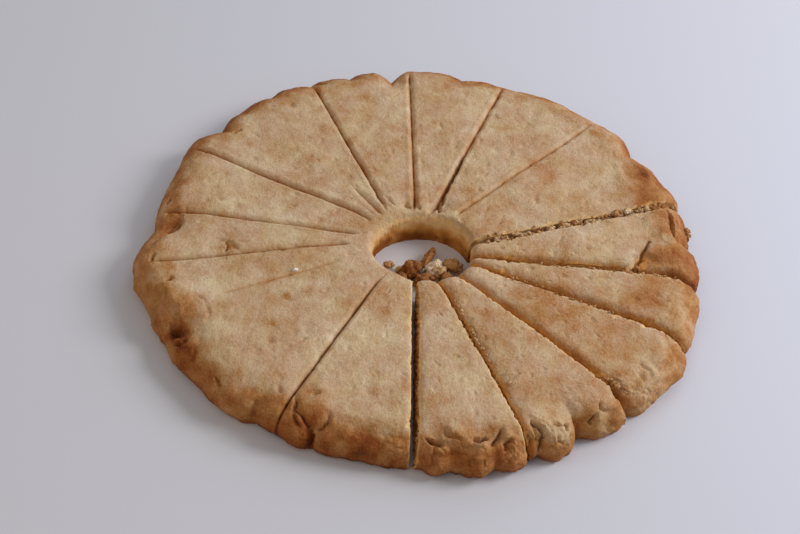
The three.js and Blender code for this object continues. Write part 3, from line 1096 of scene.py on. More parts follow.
@dataclass
class Piece:
    """One solid piece of the round, from one through cut anticlockwise to the next.

    Attributes:
        node: the part's node that it stands for.
        lines: its two through cuts, with the scores that it holds between them.
        lift: how much higher or lower than the others it has baked.
        extra: marks of this piece alone.
        column: width of a mesh column at the rim.
        groove_columns: mesh columns across the mouth of a score.
        flat_rings: mesh rings from the hole to the shoulder.
        rim_rings: mesh rings over the shoulder.
        layers: mesh layers up the sides.
        hole_round: how far the hole's edge is rounded.
        drag: how far the knife has drawn its clockwise edge down.
        wall_bake: how brown the foot of its cut walls is.
        foot: how far the foot of its clockwise wall stands out into the cut.
        corners: how far its corners at the rim are rounded off.
        nicks: bites out of its clockwise edge, each with its reach in place of a bearing.
        shape: the round that it is part of.
        marks: the crust's marks.
        baking: where the oven browned it.
        dough: how rough it baked.
        wear: how its edges are worn.
        tints: how brown its cut walls and edges are.
        least_top: least height of the crust.
        sharp_angle: angle in degrees over which an edge is shaded sharp.
    """

    node: str
    lines: tuple[Line, ...]
    lift: float
    extra: tuple[Mark, ...] = ()
    column: float = 0.62
    groove_columns: int = 8
    flat_rings: int = 120
    rim_rings: int = 26
    layers: int = 14
    hole_round: float = 2.2
    drag: float = 0.6
    wall_bake: float = 0.9
    foot: float = 0.0
    corners: float = 2.6
    nicks: tuple[RimForm, ...] = ()
    shape: RoundShape = RoundShape()
    marks: CrustMarks = CrustMarks()
    baking: Baking = Baking()
    dough: Dough = Dough()
    wear: Wear = Wear()
    tints: CutTints = CutTints()
    least_top: float = 0.6
    sharp_angle: float = 48

    def guides(self) -> list[tuple[KnifeLine, int]]:
        """The lips of the knife lines that the mesh columns follow.

        Returns:
            Each line with the side of its lip, 1 on the left and -1 on the right.
        """
        lines = [line.value for line in self.lines]
        guides = [(lines[0], 1)]
        for line in lines[1:-1]:
            guides += [(line, -1), (line, 1)]
        return guides + [(lines[-1], -1)]

    def bearing_of(self, guide: tuple[KnifeLine, int], reach: Array) -> Array:
        """Bearing in radians of a knife line's lip."""
        line, side = guide
        return line.bearing(reach) + side * line.half_mouth(reach)

    def columns(self) -> list[tuple[int, float]]:
        """Places the mesh columns between the guides.

        Returns:
            Every column as the guide on its right and the share of the way to the next one.
        """
        guides = self.guides()
        radius = np.array([self.shape.radius])
        columns = []
        for index, (right, left) in enumerate(zip(guides, guides[1:])):
            turn = float(turn_between(self.bearing_of(left, radius), self.bearing_of(right, radius))[0])
            in_groove = right[0] is left[0]
            between = max(1, round(turn * self.shape.radius / self.column))
            steps = self.groove_columns if in_groove else between
            columns += [(index, step / steps) for step in range(steps)]
        return columns + [(len(guides) - 2, 1.0)]

    def block(self, columns: int) -> bpy.types.Mesh:
        """A flat slab that is to be bent into the piece: a grid, its edge drawn down in layers, and a base.

        Args:
            columns: number of mesh columns.

        Returns:
            The slab, with x over the rings, y over the columns and z down from 0 in whole layers.
        """
        bm = bmesh.new()
        rings = self.flat_rings + self.rim_rings
        bmesh.ops.create_grid(bm, x_segments=rings, y_segments=columns, size=1.0)
        edges = [edge for edge in bm.edges if edge.is_boundary]
        for _ in range(self.layers):
            drawn = bmesh.ops.extrude_edge_only(bm, edges=edges)["geom"]
            corners = {item for item in drawn if isinstance(item, bmesh.types.BMVert)}
            bmesh.ops.translate(bm, verts=list(corners), vec=(0, 0, -1))
            edges = [item for item in drawn
                     if isinstance(item, bmesh.types.BMEdge) and corners.issuperset(item.verts)]
        bmesh.ops.contextual_create(bm, geom=edges)
        bmesh.ops.recalc_face_normals(bm, faces=bm.faces)
        mesh = bpy.data.meshes.new(f"{self.node}_baked")
        bm.to_mesh(mesh)
        bm.free()
        return mesh

    def bearings(self, index: Array, share: Array, reach: Array) -> Array:
        """Bearings of mesh columns at a reach.

        Args:
            index: the guide on each column's right.
            share: the share of the way to the next guide.
            reach: distances from the cut centre.

        Returns:
            Bearings in radians.
        """
        result = np.zeros(reach.shape)
        guides = self.guides()
        for number, (right, left) in enumerate(zip(guides, guides[1:])):
            chosen = index == number
            start = self.bearing_of(right, reach[chosen])
            turn = turn_between(self.bearing_of(left, reach[chosen]), start)
            result[chosen] = start + turn * share[chosen]
        return result

    def profile(self, places: Array) -> Surface:
        """Bends the slab round the hole, without relief.

        Args:
            places: the slab's points, one row of three each.

        Returns:
            The piece's points on its plain profile.
        """
        shape = self.shape
        columns = self.columns()
        ring = (places[:, 0] + 1) / 2
        number = np.rint((places[:, 1] + 1) / 2 * (len(columns) - 1)).astype(int)
        level = 1 + places[:, 2] / self.layers
        index = np.array([column[0] for column in columns])[number]
        share = np.array([column[1] for column in columns])[number]
        at_rim = self.bearings(index, share, np.full(ring.shape, shape.radius))
        at_hole = self.bearings(index, share, np.full(ring.shape, shape.hole_radius))
        rim, hole, width = shape.rim(at_rim), shape.hole(at_hole), shape.shoulder(at_rim)
        flat_share = self.flat_rings / (self.flat_rings + self.rim_rings)
        angle = shape.shoulder_angle * np.clip((ring - flat_share) / (1 - flat_share), 0, 1)
        flat_reach = hole + (rim - width - hole) * np.minimum(1, ring / flat_share)
        reach = np.where(ring <= flat_share, flat_reach, rim - width * (1 - np.sin(angle)))
        bearing = self.bearings(index, share, reach)
        full = shape.crust(bearing, reach) + self.lift
        height = full - (full - shape.belly_height) * (1 - np.cos(angle))
        tuck = shape.belly * 4 * level * (1 - level) - shape.foot_tuck * (1 - level)
        side_reach = reach + tuck * ring ** 6
        return Surface(ring, level, rim, hole, width, angle, bearing, reach, side_reach, full, height)

    def edges(self, on: Surface, solid: Array, reach: Array) -> Edges:
        """Finds how near the points are to the piece's edges.

        Args:
            on: the points on the plain profile.
            solid: their places in space.
            reach: their reaches with the relief.

        Returns:
            The distances, and how broken the dough is.
        """
        from_start = turn_from(self.bearing_of(self.guides()[0], reach), on.bearing) * reach
        to_end = turn_from(on.bearing, self.bearing_of(self.guides()[-1], reach)) * reach
        seams = np.where(on.cut_wall, 1 - grains(solid, self.dough.cut_grain, on.cut_wall), 0)
        sand = self.dough.broken(solid) + self.wear.seams * seams
        return Edges(from_start, to_end, np.maximum(0, on.side_reach - on.hole), seams, sand)

    def bite(self, on: Surface, near: Edges, reach: Array) -> Array:
        """Bearings of the points once the cuts are nicked and broken.

        Args:
            on: the points on the plain profile.
            near: their distances from the edges.
            reach: their reaches with the relief.

        Returns:
            Bearings in radians.
        """
        wear, bearing = self.wear, on.bearing
        nick = sum(form.amount * np.exp(-((reach - form.bearing) / form.spread) ** 2)
                   for form in self.nicks)
        for distance, way, bite in ((near.from_start, 1, nick), (near.to_end, -1, 0)):
            fade = np.clip(1 - distance / wear.bite_width, 0, 1)
            bearing = bearing + way * (wear.bite * near.sand + bite) * fade / reach
        fade = np.clip(1 - near.from_start / wear.foot_width, 0, 1)
        return bearing - self.foot * (1 - on.level) * fade / reach

    def worn_reach(self, on: Surface, near: Edges, reach: Array) -> Array:
        """Reaches of the points once the corners at the rim and the hole's edge are worn.

        Args:
            on: the points on the plain profile.
            near: their distances from the edges.
            reach: their reaches with the relief.

        Returns:
            Reaches in mm.
        """
        wear = self.wear
        at_rim = smooth(reach - (on.rim - on.width), *wear.rim_corner)
        reach = reach - self.corners * np.exp(-near.from_cut / wear.rim_corner_width) * at_rim
        return reach + wear.hole_bite * near.sand * np.clip(1 - near.from_hole / wear.bite_width, 0, 1)

    def worn_top(self, near: Edges, solid: Array, top: Array) -> Array:
        """Heights of the crust once its edges are broken, rounded and drawn down.

        Args:
            near: the points' distances from the edges.
            solid: their places in space.
            top: heights of the crust over them, with the relief.

        Returns:
            Heights in mm.
        """
        wear = self.wear
        top = top - (wear.edge_drop + wear.sand_drop * near.sand) * np.exp(-near.from_cut / wear.drop_width)
        top = top - self.hole_round * np.clip(1 - near.from_hole / self.hole_round, 0, 1) ** 2
        top = top - wear.pillow * np.exp(-near.from_cut / wear.pillow_width)
        by_cut, by_hole = wear.hole_corner_width
        top = top - wear.hole_corner * np.exp(-near.from_cut / by_cut - near.from_hole / by_hole)
        drag = self.drag * (wear.drag_least + wear.drag_waves.at(solid))
        return top - drag * np.exp(-np.maximum(near.from_start, 0) / wear.drag_width)

    def crumb_share(self, on: Surface, near: Edges) -> Array:
        """Share of the inner crumb at each point, before deep marks bare it.

        Args:
            on: the points on the plain profile.
            near: their distances from the edges.

        Returns:
            Shares from 0 on the crust to 1.
        """
        edge = np.exp(-np.minimum(near.from_cut, near.from_hole) / self.tints.edge_width)
        shows = np.clip(edge * (self.tints.clean_edge + self.tints.sandy_edge * near.sand), 0, 1)
        return np.where(on.inner, 1.0, shows)

    def browning(self, on: Surface, near: Edges, crust: Array, solid: Array, up: Array) -> Array:
        """How brown each point is.

        Args:
            on: the points on the plain profile.
            near: their distances from the edges.
            crust: how brown the crust is there.
            solid: their places in space.
            up: their heights in the finished piece.

        Returns:
            Shares from 0 to 1.
        """
        tints = self.tints
        fresh = (near.to_end < near.from_start) | (self.drag < 1)
        brown = crust * (1 - tints.fresh * self.crumb_share(on, near) * fresh)
        drawn = np.exp(-np.maximum(near.from_start, 0) / tints.drawn_width)
        brown = brown + tints.drawn * min(self.drag, 2) * drawn * (self.drag > 1)
        brown = np.clip(brown + tints.base_bake * (1 - smooth(up, *tints.base_rise)), 0, 1)
        hole_wall = tints.hole_bake * (1 - smooth(up, *tints.hole_rise))
        cut_wall = self.wall_bake * (1 - smooth(up, *tints.wall_rise))
        inside = np.where(on.ring <= 0, hole_wall, cut_wall) + tints.crumb_bake
        inside = inside + tints.crumb_waves.at(solid) + tints.seam_bake * near.seams
        return np.where(on.inner, np.clip(inside, 0, 1), brown)

    def build(self) -> bpy.types.Object:
        """Gives the bent slab its relief, its worn edges and its browning.

        Returns:
            The finished piece, without its material.
        """
        mesh = self.block(len(self.columns()) - 1)
        raw = np.empty(len(mesh.vertices) * 3)
        mesh.vertices.foreach_get("co", raw)
        on = self.profile(raw.reshape(-1, 3))
        flat, solid = on.flat(), on.solid()

        # Scores, marks and crags, along the surface's own normal
        scored, floor = self.marks.scores(on.bearing, on.reach, flat)
        relief = self.dough.relief(flat, solid, on.bearing, on.on_rim) + self.marks.relief(flat, self.extra)
        tilt = on.tilt(self.shape.belly_height)
        reach = on.side_reach + np.where(on.inner, 0, relief * np.sin(tilt))
        leaning = relief * np.cos(np.where(on.on_top, tilt, self.shape.shoulder_angle))
        top = on.height + scored * np.cos(on.angle) + np.where(on.inner, relief, leaning)

        # Worn edges, then places in the frame, kept inside the solid's own box
        near = self.edges(on, solid, reach)
        bearing = self.bite(on, near, reach)
        reach = self.worn_reach(on, near, reach)
        top = self.worn_top(near, solid, top)
        east = reach * np.cos(bearing) + CUT_CENTRE[0]
        north = reach * np.sin(bearing) + CUT_CENTRE[1]
        points = np.stack([east, north, on.level * np.maximum(top, self.least_top)], axis=1) * MM
        low, high = (np.array(corner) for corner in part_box(self.node))
        points = np.clip(points, low, high)
        mesh.vertices.foreach_set("co", points.ravel())

        # How brown each point is, with its painted shade and light, and where the inner crumb shows
        crust = self.baking.browning(flat, bearing, on.rim - on.width - on.side_reach, floor)
        brown = self.browning(on, near, crust, solid, points[:, 2] / MM)
        bared = smooth(-relief, *self.tints.deep) * (1 - smooth(on.on_rim, *FLAT_CRUST))
        crumb = np.maximum(self.crumb_share(on, near), bared * (self.extra != ()))
        for name, values in (("browning", brown), ("crumb", crumb)):
            attribute = mesh.attributes.new(name, "FLOAT", "POINT")
            attribute.data.foreach_set("value", values.astype(np.float32))
        mesh.shade_smooth()
        mesh.set_sharp_from_angle(angle=math.radians(self.sharp_angle))
        mesh.update()
        piece = bpy.data.objects.new(mesh.name, mesh)
        bpy.context.scene.collection.objects.link(piece)
        return piece


SLICE_1_CRACK = Fracture(
    ((353.8, 84.1), (355.6, 86.0), (357.3, 87.6), (358.6, 88.8), (0.1, 89.3), (1.7, 91.1), (3.6, 91.9),
     (4.7, 93.8), (6.9, 96.0)),
    mouth=3.8, tip=1.1, depth=8.0, shallow=0.9)
SLICE_1_BROKEN_FLOOR = Flake(
    ((4.7, 93.4), (1.7, 90.7), (359.0, 88.8), (356.4, 86.4), (352.0, 82.7)), -4.4, 6)

PIECES = (
    Piece("scored_round", (Line.RIGHT, Line.BACK_RIGHT, Line.BACK_MIDDLE, Line.BACK, Line.BACK_LEFT,
                           Line.SHORT_MARK, Line.LEFT_BACK, Line.LEFT, Line.LEFT_FRONT, Line.FAINT,
                           Line.FRONT_LEFT, Line.FRONT),
          0.0, column=0.86, flat_rings=98, rim_rings=22, layers=11),
    Piece("slice_1", (Line.RIGHT_MIDDLE, Line.RIGHT), 0.5, drag=3.2,
          extra=(SLICE_1_CRACK, SLICE_1_BROKEN_FLOOR),
          nicks=(RimForm(80, 7, 1.3), RimForm(58, 4, 0.5), RimForm(103, 8, 1.9))),
    Piece("slice_2", (Line.RIGHT_LOWER, Line.RIGHT_MIDDLE), 0.1, drag=2.0),
    Piece("slice_3", (Line.RIGHT_FRONT, Line.RIGHT_LOWER), -0.2, drag=2.0),
    Piece("slice_4", (Line.FRONT_RIGHT, Line.RIGHT_FRONT), 0.2, drag=1.2),
    Piece("slice_5", (Line.FRONT, Line.FRONT_RIGHT), 0.3, foot=1.7, wall_bake=0.3),
)


def linear(code: str) -> tuple[float, float, float, float]:
    """Linear colour of a hex code such as #c9a46b.

    Args:
        code: the colour as it is seen on a screen.

    Returns:
        Red, green, blue and alpha for a node socket.
    """
    channels = [int(code[start:start + 2], 16) / 255 for start in (1, 3, 5)]
    return (*(c / 12.92 if c <= 0.04045 else ((c + 0.055) / 1.055) ** 2.4 for c in channels), 1.0)


class Graph:
    """A node tree that is filled from code, node by node."""

    def __init__(self, tree: bpy.types.NodeTree) -> None:
        """Starts on an emptied tree."""
        self.tree = tree
        tree.nodes.clear()

    def add(self, kind: str, inputs: dict | None = None, **settings: object) -> bpy.types.Node:
        """Adds a node.

        Args:
            kind: the node's type name.
            inputs: for each input's name or number, a value or the socket that feeds it.
            settings: the node's own properties.

        Returns:
            The node.
        """
        node = self.tree.nodes.new(kind)
        for name, value in settings.items():
            setattr(node, name, value)
        for key, value in (inputs or {}).items():
            if isinstance(value, bpy.types.NodeSocket):
                self.tree.links.new(value, node.inputs[key])
            else:
                node.inputs[key].default_value = value
        return node

    def maths(self, operation: str, *values: object) -> bpy.types.NodeSocket:
        """Adds a Math node and gives its result."""
        return self.add("ShaderNodeMath", dict(enumerate(values)), operation=operation).outputs[0]

    def mix(self, share: object, a: object, b: object, way: str = "MIX") -> bpy.types.NodeSocket:
        """Adds a node that mixes two colours and gives its result."""
        node = self.add("ShaderNodeMix", {0: share, 6: a, 7: b}, data_type="RGBA", blend_type=way)
        return node.outputs[2]

    def ramp(self, share: object, stops: tuple[tuple[float, tuple], ...]) -> bpy.types.NodeSocket:
        """Adds a colour ramp and gives its colour.

        Args:
            share: what runs along the ramp.
            stops: places on the ramp with the colour of each.

        Returns:
            The colour's socket.
        """
        node = self.add("ShaderNodeValToRGB", {0: share})
        elements = node.color_ramp.elements
        while len(elements) < len(stops):
            elements.new(1.0)
        for element, (place, colour) in zip(elements, stops):
            element.position = place
            element.color = colour
        return node.outputs[0]

    def span(self, value: object, low: float, high: float) -> bpy.types.NodeSocket:
        """Adds a node that turns a range into shares from 0 to 1, and gives the share."""
        node = self.add("ShaderNodeMapRange", {0: value, 1: low, 2: high}, interpolation_type="SMOOTHSTEP")
        return node.outputs[0]


@dataclass
class SandyGrain:
    """The grain of baked sugar and flour, shared by the crust and the crumbs, as one node group."""

    name: str = "sandy_grain"
    tree: bpy.types.NodeTree | None = field(default=None, init=False)

    def build(self) -> bpy.types.NodeTree:
        """Makes the group once.

        Returns:
            The group, with a grain size in, and blotches, grain, specks, height, casts and sugar out.
        """
        if self.tree:
            return self.tree
        self.tree = bpy.data.node_groups.new(self.name, "ShaderNodeTree")
        sockets = self.tree.interface
        sockets.new_socket("Place", in_out="INPUT", socket_type="NodeSocketVector")
        size = sockets.new_socket("Grains per metre", in_out="INPUT", socket_type="NodeSocketFloat")
        size.default_value = 900.0
        for output in ("Blotches", "Grain", "Specks", "Height", "Casts", "Sugar"):
            sockets.new_socket(output, in_out="OUTPUT", socket_type="NodeSocketFloat")
        graph = Graph(self.tree)
        given = graph.add("NodeGroupInput")
        place, grains = given.outputs[0], given.outputs[1]

        def waves(share: float, detail: float, rough: float) -> bpy.types.NodeSocket:
            """Noise at a share of the grain's own scale.

            Args:
                share: the share.
                detail: how many finer waves are added.
                rough: how strong those are.

            Returns:
                The noise's socket.
            """
            scale = graph.maths("MULTIPLY", grains, share)
            inputs = {"Vector": place, "Scale": scale, "Detail": detail, "Roughness": rough}
            return graph.add("ShaderNodeTexNoise", inputs).outputs[0]

        blotches = waves(0.16, 4.0, 0.62)
        grain = waves(1.0, 3.0, 0.7)
        coarse = graph.maths("MULTIPLY", grains, 0.7)
        cells = graph.add("ShaderNodeTexVoronoi", {"Vector": place, "Scale": coarse})
        near = graph.maths("SUBTRACT", 1.0, graph.span(cells.outputs["Distance"], 0.05, 0.32))
        some = graph.span(waves(0.45, 1.0, 0.5), 0.5, 0.62)
        specks = graph.maths("MULTIPLY", near, some)
        others = graph.maths("SUBTRACT", 1.0, graph.span(waves(0.45, 1.0, 0.5), 0.36, 0.48))
        sugar = graph.maths("MULTIPLY", near, others)
        fine = graph.maths("MULTIPLY", grain, 0.6)
        rough = graph.maths("ADD", fine, graph.maths("MULTIPLY", waves(0.4, 2.0, 0.6), 0.9))
        height = graph.maths("SUBTRACT", rough, graph.maths("MULTIPLY", specks, 0.25))
        casts = graph.span(waves(0.06, 3.0, 0.6), 0.4, 0.6)
        graph.add("NodeGroupOutput", {0: blotches, 1: grain, 2: specks, 3: height, 4: casts, 5: sugar})
        return self.tree


@dataclass(frozen=True)
class CrustFinish:
    """The baked crust, with the inner crumb where it is cut or broken.

    Attributes:
        pale: crust that the oven hardly touched.
        golden: the crust's usual colour.
        tanned: browned crust.
        brown: the rim.
        dark: the darkest places of the rim.
        crumb_pale: inner crumb, made lighter partly as painted light, so that cut walls deep in their
            narrow gaps look lit.
        crumb_golden: inner crumb halfway down.
        crumb_baked: inner crumb near the base.
        yellow_cast: tint of the yellower places.
        pink_cast: tint of the pinker places.
        speck: dark specks of caramel.
        sugar: light grains of sugar.
        mottle: how much the blotches shift the browning.
        grains: grains of sugar to a metre.
        stretch: scale of the grain along each axis.
        bump: height of the grain in metres.
        roughness: the surface's roughness.
    """

    pale: str = "#dbc6a0"
    golden: str = "#c6a47b"
    tanned: str = "#b37e47"
    brown: str = "#95531f"
    dark: str = "#612f0f"
    # The pale crumb colour is partly painted light, lightened for cut walls that lie in shade.
    crumb_pale: str = "#efca8e"
    crumb_golden: str = "#d09248"
    crumb_baked: str = "#894a12"
    yellow_cast: str = "#fffdf5"
    pink_cast: str = "#fffafd"
    speck: str = "#7c522c"
    sugar: str = "#ead7b0"
    mottle: float = 0.42
    grains: float = 1250.0
    stretch: tuple[float, float, float] = (1.0, 0.78, 1.0)
    bump: float = 0.0006
    roughness: float = 0.88

    def material(self, grain: SandyGrain) -> bpy.types.Material:
        """Builds the material.

        Args:
            grain: the shared grain.

        Returns:
            The material.
        """
        material = bpy.data.materials.new("baked_crust")
        material.use_nodes = True
        graph = Graph(material.node_tree)
        place = graph.add("ShaderNodeTexCoord").outputs["Object"]
        place = graph.add("ShaderNodeMapping", {"Vector": place, "Scale": self.stretch}).outputs[0]
        sand = graph.add("ShaderNodeGroup", node_tree=grain.build())
        graph.tree.links.new(place, sand.inputs["Place"])
        sand.inputs["Grains per metre"].default_value = self.grains
        browning = graph.add("ShaderNodeAttribute", attribute_name="browning").outputs["Fac"]
        crumb = graph.add("ShaderNodeAttribute", attribute_name="crumb").outputs["Fac"]
        blotch = graph.maths("SUBTRACT", sand.outputs["Blotches"], 0.5)
        fine = graph.maths("MULTIPLY", graph.maths("SUBTRACT", sand.outputs["Grain"], 0.5), 0.55)
        share = graph.maths("ADD", browning, graph.maths("MULTIPLY", blotch, self.mottle))
        share = graph.maths("ADD", share, fine)
        crust = graph.ramp(share, ((0.0, linear(self.pale)), (0.28, linear(self.golden)),
                                   (0.52, linear(self.tanned)), (0.78, linear(self.brown)),
                                   (1.0, linear(self.dark))))
        crust = graph.mix(graph.maths("MULTIPLY", sand.outputs["Specks"], 0.35), crust, linear(self.speck))
        pale = graph.maths("SUBTRACT", 0.4, graph.maths("MULTIPLY", share, 0.5))
        light = graph.maths("MULTIPLY", sand.outputs["Sugar"], pale)
        crust = graph.mix(graph.maths("MAXIMUM", light, 0.0), crust, linear(self.sugar))
        cast = graph.mix(sand.outputs["Casts"], linear(self.yellow_cast), linear(self.pink_cast))
        crust = graph.mix(1.0, crust, cast, "MULTIPLY")
        inner_share = graph.maths("ADD", browning, graph.maths("MULTIPLY", blotch, 0.4))
        inner = graph.ramp(inner_share, ((0.0, linear(self.crumb_pale)), (0.5, linear(self.crumb_golden)),
                                         (1.0, linear(self.crumb_baked))))
        ragged = graph.maths("ADD", crumb, graph.maths("MULTIPLY", fine, 2.0))
        colour = graph.mix(graph.span(ragged, 0.35, 0.6), crust, inner)
        bump = graph.add("ShaderNodeBump", {"Strength": 0.9, "Distance": self.bump,
                                            "Height": sand.outputs["Height"]})
        shader = graph.add("ShaderNodeBsdfPrincipled", {
            "Base Color": colour, "Roughness": self.roughness, "Specular IOR Level": 0.25,
            "Normal": bump.outputs[0]})
        graph.add("ShaderNodeOutputMaterial", {0: shader.outputs[0]})
        return material


@dataclass(frozen=True)
class CrumbFinish:
    """Loose crumbs, from pale inner crumb to browned bits of crust.

    Attributes:
        white: the palest crumbs.
        pale: crumbs of pale inner crumb.
        golden: golden crumbs.
        brown: browned bits of crust.
        grains: grains of sugar to a metre.
        bump: height of the grain in metres.
        roughness: the surface's roughness.
    """

    white: str = "#f2ede6"
    pale: str = "#d9b988"
    golden: str = "#b07a45"
    brown: str = "#81481f"
    grains: float = 1300.0
    bump: float = 0.0004
    roughness: float = 0.9

    def material(self, grain: SandyGrain) -> bpy.types.Material:
        """Builds the material.

        Args:
            grain: the shared grain.

        Returns:
            The material.
        """
        material = bpy.data.materials.new("loose_crumb")
        material.use_nodes = True
        graph = Graph(material.node_tree)
        place = graph.add("ShaderNodeTexCoord").outputs["Object"]
        sand = graph.add("ShaderNodeGroup", node_tree=grain.build())
        graph.tree.links.new(place, sand.inputs["Place"])
        sand.inputs["Grains per metre"].default_value = self.grains
        browning = graph.add("ShaderNodeAttribute", attribute_name="browning").outputs["Fac"]
        fine = graph.maths("SUBTRACT", sand.outputs["Grain"], 0.5)
        share = graph.maths("ADD", browning, graph.maths("MULTIPLY", fine, graph.span(browning, 0.0, 0.15)))
        colour = graph.ramp(share, ((0.0, linear(self.white)), (0.15, linear(self.pale)),
                                    (0.55, linear(self.golden)), (1.0, linear(self.brown))))
        bump = graph.add("ShaderNodeBump", {"Strength": 1.0, "Distance": self.bump,
                                            "Height": sand.outputs["Height"]})
        shader = graph.add("ShaderNodeBsdfPrincipled", {
            "Base Color": colour, "Roughness": self.roughness, "Specular IOR Level": 0.25,
            "Normal": bump.outputs[0]})
        graph.add("ShaderNodeOutputMaterial", {0: shader.outputs[0]})
        return material


@dataclass(frozen=True)
class Crumb:
    """One crumb.

    Attributes:
        place: its middle, round the cut centre.
        size: its three half lengths.
        turn: how far it is turned, in degrees.
        brown: how brown it is.
    """

    place: tuple[float, float, float]
    size: tuple[float, float, float]
    turn: float
    brown: float

    def clustered(self, draw: random.Random, lumps: int) -> list["Crumb"]:
        """Breaks the crumb up into lumps that overlap.

        Args:
            draw: the seeded draw.
            lumps: how many lumps.

        Returns:
            A core and the lumps on it.
        """
        turned = Matrix.Rotation(math.radians(self.turn), 3, "Z")
        cluster = [Crumb(self.place, tuple(0.72 * half for half in self.size), self.turn, self.brown)]
        for _ in range(lumps):
            way = Vector([draw.gauss(0, 1) for _ in range(3)]).normalized()
            away = turned @ Vector([0.62 * half * part for half, part in zip(self.size, way)])
            half = draw.uniform(0.3, 0.5) * min(self.size)
            place = tuple(Vector(self.place) + away)
            brown = self.brown + draw.uniform(-0.15, 0.15)
            cluster.append(Crumb(place, (half * 1.2, half, half), draw.uniform(0, 180), max(0.1, brown)))
        return cluster


@dataclass
class CrumbHeap:
    """Loose crumbs that lie together, as one piece.

    Attributes:
        name: the piece's name.
        crumbs: the crumbs.
        ball_levels: how finely each one is made.
        rough: how uneven each one is, as a share of its size.
    """

    name: str
    crumbs: list[Crumb]
    ball_levels: int = 2
    rough: float = 0.55

    def build(self) -> bpy.types.Object:
        """Makes each crumb from a ball that is stretched, turned and roughened.

        Returns:
            The piece, without its material.
        """
        bm = bmesh.new()
        brown = bm.verts.layers.float.new("browning")
        for number, crumb in enumerate(self.crumbs):
            middle = Vector(crumb.place) + Vector((*CUT_CENTRE, 0))
            turned = Matrix.Rotation(math.radians(crumb.turn), 3, "Z")
            place = Matrix.LocRotScale(middle, turned, Vector(crumb.size))
            verts = bmesh.ops.create_icosphere(bm, subdivisions=self.ball_levels, radius=1.0)["verts"]
            for vert in verts:
                lump = noise.fractal(vert.co * 1.5 + Vector((number * 3.7, 0, 0)), 0.7, 2.0, 3)
                vert.co = place @ (vert.co * (1 + self.rough * lump))
                vert.co.z = max(vert.co.z, 0.05)
                vert[brown] = crumb.brown
        bmesh.ops.scale(bm, verts=bm.verts, vec=(MM, MM, MM))
        mesh = bpy.data.meshes.new(self.name)
        bm.to_mesh(mesh)
        bm.free()
        mesh.shade_smooth()
        piece = bpy.data.objects.new(self.name, mesh)
        bpy.context.scene.collection.objects.link(piece)
        return piece


@dataclass(frozen=True)
class CrumblyEdge:
    """A stretch of a through cut with crumbs on its edge.

    Attributes:
        line: the cut.
        start: reach where the stretch starts.
        end: reach where it ends.
        across: how far to the left of the cut's middle they lie, least and most.
        up: height of the crust under them.
        count: how many crumbs.
        size: half length of the largest.
    """

    line: Line
    start: float
    end: float
    across: tuple[float, float]
    up: float
    count: int
    size: float = 0.7


